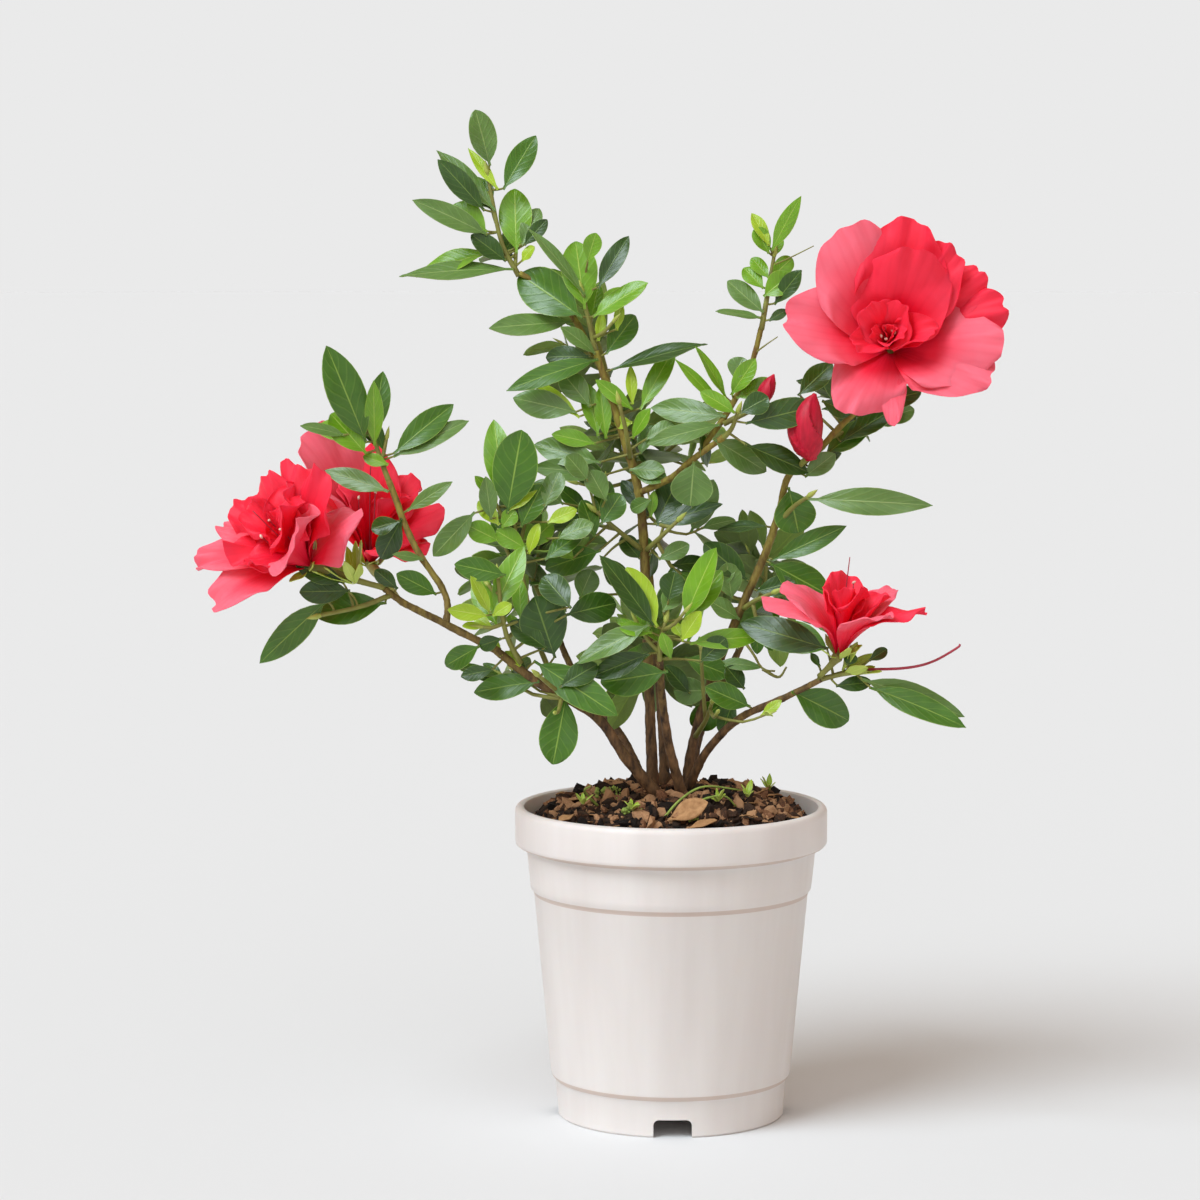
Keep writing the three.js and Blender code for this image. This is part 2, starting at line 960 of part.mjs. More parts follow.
function keepsToItsSpace(name, leaf) {
  const outline = [[1, -1], [1, 1], [2, -1], [2, 1], [3, 0]];
  return outline.every(([ring, side]) => {
    const point = leafPoint(leaf, ring, side, 0);
    return depthInSpace(name, point) > SPACE_MARGIN && point.z > LOWEST_LEAF;
  });
}

function keepsClearOfLimbs(name, leaf) {
  const foot = leaf.root.clone().lerp(leaf.midrib[0], 0.5);
  return isClear(foot, leaf.width * 0.2 + LEAF_CLEARANCE, name) && leaf.midrib.every((point, i) => (
    isClear(point, leaf.width * MIDRIB_SPOTS[i].share + LEAF_CLEARANCE, name)));
}

// A twig: a bar along a smooth route, and the point on its middle line at a share of its length.
function makeTwig(points, steps) {
  const length = points.slice(1).reduce((sum, point, i) => sum + point.distanceTo(points[i]), 0);
  const count = steps ?? Math.ceil(length / TWIG.stemStep);
  return { points, length, steps: count, route: smoothRoute(points) };
}

function onTwig({ route, steps }, along) {
  const ring = Math.min(Math.floor(along * steps), steps - 1);
  const start = route.getPoint(ring / steps);
  return start.lerp(route.getPoint((ring + 1) / steps), along * steps - ring);
}

// A whorl of leaves about the end of a twig: they turn by the golden angle, the lowest spread
// widest and are longest, and they tip their faces to the light.
function whorl(mass, name, twig, count, draw, earlier) {
  const axis = onTwig(twig, 1).sub(onTwig(twig, 0.85)).normalize();
  const depth = Math.min(WHORL.depth / twig.length, WHORL.share);
  const facing = radians(mass.faces);
  const light = new THREE.Vector3(Math.cos(facing), Math.sin(facing), WHORL.lightHeight).normalize();
  const firstTurn = 360 * draw();
  const leaves = [];
  for (let i = 0; i < count; i += 1) {
    const step = count > 1 ? i / (count - 1) : 1;
    const out = mix(WHORL.lowestOut, WHORL.highestOut, step) + sway(draw, WHORL.outSway);
    const length = mass.leaf * mix(1, WHORL.highestScale, step) * varied(draw);
    const direction = leaningOut(axis, firstTurn + GOLDEN_ANGLE * i, out);
    const face = light.clone().multiplyScalar(WHORL.faceToLight);
    face.addScaledVector(axis, WHORL.faceToTwig);
    face.x += sway(draw, WHORL.faceSway);
    face.addScaledVector(direction, -face.dot(direction)).normalize();
    const leaf = {
      root: onTwig(twig, 1 - depth * (1 - step)).addScaledVector(axis, -WHORL.rootSink),
      direction,
      face,
      length,
      width: length * LEAF_SHAPE * varied(draw),
      curl: WHORL.leastCurl + WHORL.curlRange * draw(),
    };
    leaf.midrib = midribOf(leaf);
    const apart = [...earlier, ...leaves].every((other) => keepsApart(leaf, other));
    if (apart && keepsToItsSpace(name, leaf) && keepsClearOfLimbs(name, leaf)) {
      leaves.push(leaf);
    }
  }
  return leaves;
}

// A mass grows by one rule: twigs leave its stem from the first one to its top, each turned by
// the golden angle from the last, and every twig and the stem itself end in a whorl.
function grow(name, mass) {
  const draw = numberStream(mass.seed);
  const stem = makeTwig(mass.points);
  const twigs = [];
  const leaves = whorl(mass, name, stem, mass.leaves + 1, draw, []);
  for (let i = 0; i < mass.twigs; i += 1) {
    const along = mix(mass.first, TWIG.last, mass.twigs > 1 ? i / (mass.twigs - 1) : 0);
    const root = onTwig(stem, along);
    const out = mass.spread + sway(draw, TWIG.outSway);
    const turn = mass.turn + GOLDEN_ANGLE * i + sway(draw, TWIG.turnSway);
    const heading = leaningOut(stem.route.getTangent(along), turn, out);
    const length = mass.twig * mix(TWIG.lowestScale, TWIG.highestScale, along) * varied(draw);
    const middle = root.clone().addScaledVector(heading, length * TWIG.middleAt);
    const end = root.clone().addScaledVector(heading, length).addScaledVector(UP, length * TWIG.rise);
    const fits = depthInSpace(name, end) > SPACE_MARGIN * 2
      && isClear(middle, TWIG.radius + TWIG.clearance, name)
      && isClear(end, TWIG.radius + TWIG.clearance, name);
    const twig = makeTwig([root, middle, end], TWIG.steps);
    const grown = whorl(mass, name, twig, mass.leaves, draw, leaves);
    if (fits) {
      twigs.push(twig);
      leaves.push(...grown);
    }
  }
  return { stem, twigs, leaves };
}

function makeMass(name, mass) {
  const { stem, twigs, leaves } = grow(name, mass);
  const { radius, stemScale, tipScale, sides } = TWIG;
  const solids = [
    limbSolid(stem.points, radius * stemScale, radius, sides, stem.steps),
    ...twigs.map((twig) => limbSolid(twig.points, radius, radius * tipScale, sides, twig.steps)),
    ...leaves.map(leafSolid),
  ];
  addMesh(name, toGeometry(join(solids)), 'foliage');
}

// A corolla: petals that are one funnel at the root and part into lobes towards the rim. It is
// a thin shell turned about the bloom's axis, whose wall opens out along an arc, with the rim
// drawn back between the petals and ruffled.
const PETAL_THICKNESS = 1.2;
const PETAL_STEPS = [0, 0.3, 0.6, 0.85];
const LOBE_SIDES = 4;

function corollaSolid({ root, axis, turn, petals, length, start, open, notch, ruffle }) {
  const outside = PETAL_STEPS.map((along) => new THREE.Vector2(along, -1));
  const inside = PETAL_STEPS.map((along) => new THREE.Vector2(along, 1)).reverse();
  const rim = new THREE.Vector2(1, 0);
  const shell = new THREE.LatheGeometry([...outside, rim, ...inside], petals * LOBE_SIDES);
  const places = shell.attributes.position;
  const first = radians(start);
  const bend = radians(open - start);
  for (let i = 0; i < places.count; i += 1) {
    const along = Math.hypot(places.getX(i), places.getZ(i));
    const round = along ? THREE.MathUtils.radToDeg(Math.atan2(places.getX(i), places.getZ(i))) : 0;
    const lobe = Math.abs(Math.cos(radians((round * petals) / 2)));
    const angle = first + bend * along;
    const reach = length * (1 - notch * (1 - lobe) * along);
    const lift = ruffle * along * along * Math.sin(radians(round * petals * 2));
    const outward = leaningOut(axis, turn + round, 90);
    const inward = axis.clone().multiplyScalar(Math.sin(angle)).addScaledVector(outward, -Math.cos(angle));
    const place = root.clone()
      .addScaledVector(outward, (reach * (Math.cos(first) - Math.cos(angle))) / bend)
      .addScaledVector(axis, (reach * (Math.sin(angle) - Math.sin(first))) / bend)
      .addScaledVector(along ? inward : axis, lift + (places.getY(i) * PETAL_THICKNESS) / 2);
    places.setXYZ(i, place.x, place.y, place.z);
  }
  return toSolid(shell);
}

// A bloom: a stalk that widens to the throat, a wide corolla and, on a double bloom, a smaller
// one raised inside it on a short column.
const STALK_RADIUS = 1.1;
const THROAT_RADIUS = 2.2;
const RUFFLE = 3;
const INNER = { rise: 9, sink: 1.5, turn: 25, length: 0.48, start: 10, open: 0.66, ruffle: 1.5 };

function makeBloom(name, bloom) {
  const axis = toPoint(bloom.faces).normalize();
  const throat = toPoint(bloom.throat);
  const root = throat.clone().addScaledVector(axis, -THROAT_RADIUS);
  const stalk = [startOn(bloom, bloom.stalk, STALK_RADIUS), toPoint(bloom.stalk), throat];
  const { turn, petals, petal: length, start, open, notch } = bloom;
  const solids = [
    limbSolid(stalk, STALK_RADIUS, THROAT_RADIUS, 6, 4),
    corollaSolid({ root, axis, turn, petals, length, start, open, notch, ruffle: RUFFLE }),
  ];
  if (bloom.inner) {
    const foot = throat.clone().addScaledVector(axis, -1);
    const top = throat.clone().addScaledVector(axis, INNER.rise);
    solids.push(limbSolid([foot, top], THROAT_RADIUS - 0.2, INNER.sink, 5, 1));
    solids.push(corollaSolid({
      root: top.clone().addScaledVector(axis, -INNER.sink),
      axis,
      turn: turn + INNER.turn,
      petals: bloom.inner,
      length: length * INNER.length,
      start: INNER.start,
      open: open * INNER.open,
      notch,
      ruffle: INNER.ruffle,
    }));
  }
  addMesh(name, toGeometry(join(solids)), 'petal');
}

// A bud: a spindle of folded petals, closed to a point, on a short stalk.
const BUD_BASE_SCALE = 1.12;
const BUD_TIP_SCALE = 0.57;

function makeBud(name, bud) {
  const base = toPoint(bud.stalk);
  const tip = toPoint(bud.tip);
  const axis = tip.clone().sub(base).normalize();
  const side = leaningOut(axis, 0, 90);
  const across = new THREE.Vector3().crossVectors(axis, side);
  const spindle = new THREE.SphereGeometry(1, 7, 5);
  const places = spindle.attributes.position;
  for (let i = 0; i < places.count; i += 1) {
    const along = (1 + places.getY(i)) / 2;
    const radius = bud.radius * mix(BUD_BASE_SCALE, BUD_TIP_SCALE, along);
    const place = base.clone().lerp(tip, along)
      .addScaledVector(side, places.getX(i) * radius)
      .addScaledVector(across, places.getZ(i) * -radius);
    places.setXYZ(i, place.x, place.y, place.z);
  }
  const stalk = [
    startOn(bud, bud.stalk, STALK_RADIUS),
    base.clone().addScaledVector(axis, bud.radius * 0.4),
  ];
  const solids = [limbSolid(stalk, STALK_RADIUS, STALK_RADIUS, 5, 2), toSolid(spindle)];
  addMesh(name, toGeometry(join(solids)), 'petal');
}

// Making every mesh.
makePot();
makeSoil();
for (const [name, limb] of Object.entries(limbs)) {
  const solid = limbSolid(limb.points, limb.foot, limb.tip, LIMB_SIDES, limb.steps, !limb.on);
  addMesh(name, toGeometry(solid), 'bark');
}
Object.entries(MASSES).forEach(([name, mass]) => makeMass(name, mass));
Object.entries(BLOOMS).forEach(([name, bloom]) => makeBloom(name, bloom));
Object.entries(BUDS).forEach(([name, bud]) => makeBud(name, bud));

export default shrub;
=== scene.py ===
import math

import bmesh
import bpy
import numpy as np
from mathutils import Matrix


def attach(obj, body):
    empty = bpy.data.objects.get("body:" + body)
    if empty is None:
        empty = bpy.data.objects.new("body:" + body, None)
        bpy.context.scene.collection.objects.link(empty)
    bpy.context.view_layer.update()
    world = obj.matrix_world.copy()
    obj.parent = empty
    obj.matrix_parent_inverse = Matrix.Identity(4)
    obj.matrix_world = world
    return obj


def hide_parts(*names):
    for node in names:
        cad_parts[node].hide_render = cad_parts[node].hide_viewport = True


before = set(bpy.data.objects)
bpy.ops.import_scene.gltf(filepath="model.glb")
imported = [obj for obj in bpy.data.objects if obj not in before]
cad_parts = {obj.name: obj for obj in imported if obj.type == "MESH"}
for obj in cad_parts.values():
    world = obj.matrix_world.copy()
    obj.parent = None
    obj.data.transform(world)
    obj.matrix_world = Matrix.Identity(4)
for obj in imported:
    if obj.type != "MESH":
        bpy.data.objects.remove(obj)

bpy.ops.object.select_all(action="DESELECT")
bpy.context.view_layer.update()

# The pot is an off-white nursery pot, injection moulded in polypropylene. It has a deep rolled
# rim for stacking, a plain band under it, a tapering body and a foot ring with drainage notches.
MM = 0.001
POT_SIDES = 144
POT_RINGS = [
    (14.5, 0.0), (15.0, 8.0), (42.1, 8.0), (42.1, 0.0), (43.2, 0.0), (43.9, 0.8), (44.4, 13.4),
    (44.9, 14.3), (46.0, 15.6), (46.3, 17.0), (52.7, 86.4), (53.2, 87.3), (53.9, 88.2), (54.3, 91.0),
    (55.4, 102.0), (55.6, 103.4), (56.6, 104.6), (59.1, 105.2), (59.8, 105.9), (60.0, 107.0),
    (60.0, 117.6), (59.8, 118.8), (59.2, 119.6), (58.3, 120.0), (57.3, 120.0), (56.6, 119.6),
    (56.3, 118.8), (56.0, 105.5), (53.6, 101.0), (50.9, 87.0), (44.5, 17.0), (42.1, 9.8),
]
NOTCH_SIZE = (14.5, 20.0, 14.0)
NOTCH_RADIUS = 44
NOTCH_ROUND = 2.2
NOTCHES = 4
NOTCH_CORNER_STEPS = 4
POT_CREASE = 38


def linear(code):
    """An sRGB hex colour as a linear one."""
    parts = [int(code[i:i + 2], 16) / 255 for i in (0, 2, 4)]
    return [p / 12.92 if p <= 0.04045 else ((p + 0.055) / 1.055) ** 2.4 for p in parts] + [1.0]


def add_node(tree, kind, values=None, links=None, **settings):
    """A node with its settings, its values and the sockets that feed it."""
    node = tree.nodes.new(kind)
    for name, value in settings.items():
        setattr(node, name, value)
    for name, value in (values or {}).items():
        node.inputs[name].default_value = value
    for name, socket in (links or {}).items():
        tree.links.new(socket, node.inputs[name])
    return node


def blended(tree, factor, first, second):
    """A colour between two by a factor. Each colour is a hex code or a socket."""
    node = add_node(tree, "ShaderNodeMix", data_type="RGBA")
    sockets = {socket.identifier: socket for socket in node.inputs}
    tree.links.new(factor, sockets["Factor_Float"])
    for end, colour in (("A_Color", first), ("B_Color", second)):
        if isinstance(colour, str):
            sockets[end].default_value = linear(colour)
        else:
            tree.links.new(colour, sockets[end])
    return next(socket for socket in node.outputs if socket.identifier == "Result_Color")


def on_piece(tree, scale=None):
    """Where a point lies on its piece, stretched where a scale is given."""
    place = add_node(tree, "ShaderNodeTexCoord").outputs["Object"]
    if scale is None:
        return place
    return add_node(tree, "ShaderNodeMapping", {"Scale": scale}, {"Vector": place}).outputs["Vector"]


def cloudy(tree, place, scale, detail=2.0, roughness=0.5):
    """A cloudy pattern from 0 to 1."""
    values = {"Scale": scale, "Detail": detail, "Roughness": roughness}
    return add_node(tree, "ShaderNodeTexNoise", values, {"Vector": place}).outputs["Fac"]


def sums(tree, operation, *terms):
    """The result of an operation on up to three terms, each a number or a socket."""
    node = add_node(tree, "ShaderNodeMath", operation=operation)
    for socket, term in zip(node.inputs, terms):
        if isinstance(term, float):
            socket.default_value = term
        else:
            tree.links.new(term, socket)
    return node.outputs["Value"]


def ranged(tree, value, low, high, start, end):
    """A value brought from one range to another."""
    values = {"From Min": low, "From Max": high, "To Min": start, "To Max": end}
    return add_node(tree, "ShaderNodeMapRange", values, {"Value": value}).outputs["Result"]


def ramp(tree, factor, *stops):
    """A colour from a row of stops, each with its place from 0 to 1 and its hex code."""
    node = add_node(tree, "ShaderNodeValToRGB", None, {"Fac": factor})
    elements = node.color_ramp.elements
    for element, (position, code) in zip(list(elements), (stops[0], stops[-1])):
        element.position = position
        element.color = linear(code)
    for position, code in stops[1:-1]:
        elements.new(position).color = linear(code)
    return node.outputs["Color"]


def new_finish(name, colour, roughness, ior, subsurface=None, **more):
    """A material with its plain values set, its node tree and its shader. The subsurface is its
    weight, its radius and its scale in millimetres."""
    material = bpy.data.materials.new(name)
    material.use_nodes = True
    shader = material.node_tree.nodes["Principled BSDF"]
    values = {"Base Color": linear(colour), "Roughness": roughness, "IOR": ior}
    if subsurface is not None:
        weight, radius, scale = subsurface
        values.update({
            "Subsurface Weight": weight, "Subsurface Radius": radius, "Subsurface Scale": scale * MM})
    for socket, value in {**values, **more}.items():
        shader.inputs[socket].default_value = value
    return material, material.node_tree, shader


def painted(tree, shader, colour, relief=None, strength=1.0, depth=1.0, sunk=False):
    """Gives a shader its colour and, where it has a relief, that relief and its depth in
    millimetres."""
    tree.links.new(colour, shader.inputs["Base Color"])
    if relief is not None:
        bump = add_node(
            tree, "ShaderNodeBump", {"Strength": strength, "Distance": depth * MM}, {"Height": relief},
            invert=sunk)
        tree.links.new(bump.outputs["Normal"], shader.inputs["Normal"])


def in_place(piece, material, slot, *nodes):
    """Gives a finished piece its material and its body, and hides the solids that it stands for. The slot is
    not used.
    """
    piece.data.materials.clear()
    piece.data.materials.append(material)
    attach(piece, "root")
    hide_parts(*nodes)
    bpy.ops.object.select_all(action="DESELECT")


def smoothed(piece, crease):
    """Smooths a piece where its faces meet at less than the crease, in degrees."""
    bpy.context.view_layer.objects.active = piece
    piece.select_set(True)
    bpy.ops.object.shade_smooth_by_angle(angle=math.radians(crease))


def turned(name, rings, sides):
    """A piece turned about the upright axis, from the radius and height of each of its rings."""
    first_radius, first_height = rings[0]
    bpy.ops.mesh.primitive_circle_add(
        vertices=sides, radius=first_radius * MM, fill_type="NOTHING", location=(0, 0, first_height * MM))
    piece = bpy.context.object
    piece.name = name
    bpy.ops.object.transform_apply(location=True, rotation=False, scale=False)
    bpy.ops.object.mode_set(mode="EDIT")
    bpy.ops.mesh.select_mode(type="EDGE")
    bpy.ops.mesh.select_all(action="SELECT")
    for (radius, height), (next_radius, next_height) in zip(rings, rings[1:]):
        rise = (next_height - height) * MM
        bpy.ops.mesh.extrude_region_move(TRANSFORM_OT_translate={"value": (0, 0, rise)})
        scale = next_radius / radius
        bpy.ops.transform.resize(value=(scale, scale, 1), center_override=(0, 0, next_height * MM))
    bpy.ops.mesh.select_all(action="DESELECT")
    bpy.ops.mesh.select_non_manifold()
    bpy.ops.mesh.fill_holes(sides=0)
    bpy.ops.mesh.select_all(action="SELECT")
    bpy.ops.mesh.normals_make_consistent(inside=False)
    bpy.ops.object.mode_set(mode="OBJECT")
    return piece


pot = turned("plant_pot", POT_RINGS, POT_SIDES)
for i in range(NOTCHES):
    turn = i * 2 * math.pi / NOTCHES
    middle = (math.sin(turn) * NOTCH_RADIUS * MM, -math.cos(turn) * NOTCH_RADIUS * MM, 0)
    bpy.ops.mesh.primitive_cube_add(size=1, location=middle, rotation=(0, 0, turn))
    cutter = bpy.context.object
    cutter.scale = [side * MM for side in NOTCH_SIZE]
    bpy.ops.object.transform_apply(location=False, rotation=False, scale=True)
    rounding = cutter.modifiers.new("rounded corners", "BEVEL")
    rounding.width = NOTCH_ROUND * MM
    rounding.segments = NOTCH_CORNER_STEPS
    cut = pot.modifiers.new("notch", "BOOLEAN")
    cut.object = cutter
    cut.operation = "DIFFERENCE"
    bpy.ops.object.select_all(action="DESELECT")
    bpy.context.view_layer.objects.active = pot
    pot.select_set(True)
    bpy.ops.object.modifier_apply(modifier=cut.name)
    bpy.data.objects.remove(cutter)
smoothed(pot, POT_CREASE)

# Moulded polypropylene: a satin skin with very faint flow marks that run up the wall, 15 mm wide,
# a fine grain of 0.6 mm, and a thin tan line of painted shade in the corner under each step.
CREASE_SHADE_HEIGHTS = (15.2, 87.0, 104.9)
CREASE_SHADE_WIDTH = 0.9
CREASE_SHADE_WEIGHT = 0.45
polypropylene, tree, shader = new_finish(
    "moulded polypropylene, off-white", "ebe5e3", 0.46, 1.49, (0.12, (1.0, 0.5, 0.3), 5))
flow = cloudy(tree, on_piece(tree, (1.0, 1.0, 0.08)), 70.0, 4.0)
tint = blended(tree, flow, "efe8e4", "d9cfca")
place = on_piece(tree)
height = add_node(tree, "ShaderNodeSeparateXYZ", None, {"Vector": place}).outputs["Z"]
# Each tan line darkens the wall in the corner under a step: painted shade.
for level in CREASE_SHADE_HEIGHTS:
    near = sums(tree, "COMPARE", height, level * MM, CREASE_SHADE_WIDTH * MM)
    tint = blended(tree, sums(tree, "MULTIPLY", near, CREASE_SHADE_WEIGHT), tint, "b58f74")
painted(tree, shader, tint, cloudy(tree, place, 1600.0), 0.08, 0.1)
in_place(pot, polypropylene, "pot", "pot")

# The stems and boughs are azalea wood: brown flaking bark near the soil, which turns green and
# smooth towards the young tips. They taper, flare out at the foot and swell at each old leaf scar.
SOIL_LEVEL = 125.5
GAP = 0.3
TIP_ROOM = 0.02
SIDE_ROOM = 0.1
STEM_FOOT = SOIL_LEVEL + GAP
LIMB_SIDES = 18
RING_SPACING = 1.3
FLARE = 0.22
FLARE_HEIGHT = 7
SCAR_SPACING = 9.0
SCAR_HALF_HEIGHT = 1.1
SCAR_SWELL = 0.12
RINGS_PER_SCAR = 7
SWELL_LIMITS = (-0.12, 0.3)
ROOTING = 2.0
BARK_RELIEF = 0.09
ROUTE_STEP = 0.0001
ROUTE_PIECES = 200
UP = np.array([0.0, 0.0, 1.0])
BACK = np.array([0.0, 1.0, 0.0])


def table_of(columns, rows):
    """A table with a name for each column."""
    return {name: dict(zip(columns, row)) for name, row in rows.items()}


# Each stem: its route from the soil up, and its radius at the foot and at the tip.
STEMS = table_of(
    ("route", "foot", "tip"), {
        "stem_left": (
            ((-5, -18, STEM_FOOT), (-17, -24, 141), (-29, -28, 158), (-50, -33, 171), (-66, -38, 184)),
            2.2, 1.5),
        "stem_centre": (
            ((-7, 0, STEM_FOOT), (-9, 0, 178), (-11.5, 0, 233), (-18, 0, 260), (-29, 0, 294)), 2.1,
            1.3),
        "stem_behind": (((-2, 11, STEM_FOOT), (-4, 18, 160), (-8, 30, 205), (-12, 44, 240)), 1.9, 1.2),
        "stem_front": (((4, -15, STEM_FOOT), (-1, -22, 145), (-4, -30, 165), (-5, -36, 180)), 1.9, 1.3),
        "stem_right": (
            ((6, 5, STEM_FOOT), (9, 5, 145), (17.5, 1, 173), (26, -3, 195), (35, -6, 216), (41, -8, 234)),
            2.0, 1.4),
        "stem_low_right": (
            ((6, -5, STEM_FOOT), (13, -13, 142), (25, -25, 156.5), (42, -38, 166.5), (55, -45, 174)),
            1.7, 1.1),
        "stem_back_left": (
            ((-10, 11, STEM_FOOT), (-19, 26, 143), (-36, 42, 163), (-48, 50, 190)), 1.8, 1.1),
        "stem_back_right": (
            ((7, 14, STEM_FOOT), (13, 26, 148), (26, 40, 172), (34, 46, 190)), 1.8, 1.1),
    })
# Each bough: the limb that bears it and how far along that limb, its route and its two radii.
BOUGHS = table_of(
    ("on", "at", "route", "foot", "tip"), {
        "bough_left": (
            "stem_left", 1, ((-86, -42, 195), (-100, -45, 202.5), (-107, -47, 208)), 1.45, 1.2),
        "bough_left_upright": (
            "bough_left", 0.3, ((-85, -37, 205), (-97, -34, 224), (-106, -32, 247)), 1.3, 1.1),
        "bough_top": ("stem_centre", 0.93, ((-37, 5, 306), (-46, 6, 317), (-58, 6, 323.5)), 1.2, 1.0),
        "bough_middle_right": (
            "stem_centre", 0.55, ((-1, -8, 246), (8, -15, 254), (19, -21, 262.5)), 1.3, 1.1),
        "bough_upper_right": (
            "bough_middle_right", 0.7, ((21, -14, 272), (29, -15, 288), (33.5, -15, 304)), 1.15, 1.0),
        "bough_right": (
            "stem_right", 1, ((44, -10, 247), (55, -12, 257), (67, -15, 270), (78, -17, 279)), 1.35,
            1.1),
    })


def unit(vector):
    return vector / math.sqrt(float(vector @ vector))


def square_to(vector, axis):
    """The direction of a vector, turned square to an axis."""
    return unit(vector - axis * float(vector @ axis))


def mix(start, end, share):
    return start + (end - start) * share


def on_route(points, share):
    """A point on the smooth route through some points, at a share of it."""
    last = len(points) - 1
    place = last * share
    step = int(math.floor(place))
    rest = place - step
    if rest == 0 and step == last:
        step = last - 1
        rest = 1.0
    before = points[step - 1] if step > 0 else points[0] * 2 - points[1]
    start = points[step]
    end = points[step + 1]
    after = points[step + 2] if step + 2 <= last else points[last] * 2 - points[last - 1]
    leaving = 0.5 * (end - before)
    arriving = 0.5 * (after - start)
    square = -3 * start + 3 * end - 2 * leaving - arriving
    cube = 2 * start - 2 * end + leaving + arriving
    return start + leaving * rest + square * rest ** 2 + cube * rest ** 3


def heading_on(points, share):
    """The direction of a smooth route at a share of it."""
    near = max(share - ROUTE_STEP, 0)
    far = min(share + ROUTE_STEP, 1)
    return unit(on_route(points, far) - on_route(points, near))


def length_of(points):
    """The length of a smooth route."""
    spots = np.array([on_route(points, i / ROUTE_PIECES) for i in range(ROUTE_PIECES + 1)])
    return float(np.linalg.norm(np.diff(spots, axis=0), axis=1).sum())


def as_points(rows):
    return [np.array(row, float) for row in rows]


def start_on(on, at, toward, radius):
    """Where a limb starts that leaves another one: clear of its side, or just past its tip."""
    carrier = limbs[on]
    centre = on_route(carrier["points"], at)
    axis = heading_on(carrier["points"], at)
    heading = unit(np.array(toward, float) - centre)
    cosine = abs(float(heading @ axis))
    sine = math.sqrt(1 - cosine ** 2)
    if at == 1:
        return centre + axis * (GAP + radius * sine + TIP_ROOM)
    carrier_radius = mix(carrier["foot"], carrier["tip"], at)
    return centre + heading * ((carrier_radius + GAP + radius * cosine) / sine + SIDE_ROOM)


def rooted(points):
    """A route with its start drawn back into the wood that bears it."""
    return [points[0] - unit(points[1] - points[0]) * ROOTING] + points[1:]


def side_for(axis):
    """An upright or level line that isn't nearly along an axis."""
    return UP if abs(axis[1]) > 0.95 else BACK


def tube(points, radii, sides, swell=None, level_foot=False):
    """The points and faces of a bar along a smooth route, closed at both ends. The swell gives
    each ring and side its share more of radius."""
    rings = len(radii)
    shares = np.linspace(0, 1, rings)
    centres = [on_route(points, share) for share in shares]
    headings = [heading_on(points, share) for share in shares]
    side = side_for(headings[0])
    spots = []
    for ring, (centre, along) in enumerate(zip(centres, headings)):
        side = square_to(side, along)
        across = np.cross(along, side)
        for i in range(sides):
            turn = 2 * math.pi * i / sides
            radius = radii[ring] * (1 + (swell[ring, i] if swell is not None else 0))
            spot = centre + (side * math.cos(turn) + across * math.sin(turn)) * radius
            if level_foot and ring == 0:
                spot = spot + along * ((STEM_FOOT - spot[2]) / along[2])
            spots.append(spot)
    index = np.arange(rings * sides).reshape(rings, sides)
    faces = [
        (index[r, i], index[r, (i + 1) % sides], index[r + 1, (i + 1) % sides], index[r + 1, i])
        for r in range(rings - 1) for i in range(sides)]
    faces.append(tuple(index[0, ::-1]))
    faces.append(tuple(index[-1]))
    return np.array(spots), faces


def bar(points, foot, tip, rings, sides):
    """A bar that tapers evenly from one radius to another."""
    return tube(points, np.linspace(foot, tip, rings), sides)


def joined_mesh(name, parts, smooth=True, maps=None):
    """One piece made of many small shapes, each a set of points in millimetres and its faces, with
    the map that a finish follows where each shape has one."""
    offset = 0
    faces = []
    for spots, shape in parts:
        faces += [tuple(corner + offset for corner in face) for face in shape]
        offset += len(spots)
    mesh = bpy.data.meshes.new(name)
    spots = np.concatenate([spots for spots, _ in parts]) * MM
    mesh.from_pydata(spots.tolist(), [], faces)
    if maps is not None:
        layer = mesh.uv_layers.new(name="blade")
        corners = np.zeros(len(mesh.loops), np.int32)
        mesh.loops.foreach_get("vertex_index", corners)
        layer.data.foreach_set("uv", np.concatenate(maps)[corners].astype(np.float32).ravel())
    mesh.polygons.foreach_set("use_smooth", [smooth] * len(mesh.polygons))
    piece = bpy.data.objects.new(name, mesh)
    bpy.context.scene.collection.objects.link(piece)
    return piece


limbs = {}
limb_parts = []
chance = np.random.default_rng(7)
for limb_name, limb in {**STEMS, **BOUGHS}.items():
    points = as_points(limb["route"])
    if "on" in limb:
        points = [start_on(limb["on"], limb["at"], limb["route"][0], limb["foot"])] + points
    limbs[limb_name] = {**limb, "points": points}
    length = length_of(points)
    rings = math.ceil(length / RING_SPACING) + 1
    along = np.linspace(0, length, rings)
    radii = np.linspace(limb["foot"], limb["tip"], rings)
    if "on" not in limb:
        radii = radii * (1 + FLARE * np.exp(-along / FLARE_HEIGHT))
    scars = np.exp(-((along % SCAR_SPACING - SCAR_SPACING / 2) / SCAR_HALF_HEIGHT) ** 2)
    ridges = chance.normal(0, 1, (rings, LIMB_SIDES))
    ridges = (ridges + np.roll(ridges, 1, 0) + np.roll(ridges, 2, 0) + np.roll(ridges, 1, 1)) / 2
    scar_turns = chance.uniform(0, 2 * math.pi, rings // RINGS_PER_SCAR + 2)
    scar_side = scar_turns[(along // SCAR_SPACING).astype(int)]
    turns = np.linspace(0, 2 * math.pi, LIMB_SIDES, endpoint=False)
    facing = 0.5 + 0.5 * np.cos(turns[None, :] - scar_side[:, None])
    swell = SCAR_SWELL * scars[:, None] * facing + BARK_RELIEF * ridges / limb["foot"]
    swell = np.clip(swell, *SWELL_LIMITS)
    from_soil = "on" not in limb
    limb_parts.append(tube(points if from_soil else rooted(points), radii, LIMB_SIDES, swell, from_soil))
wood = joined_mesh("woody_stems_and_boughs", limb_parts)

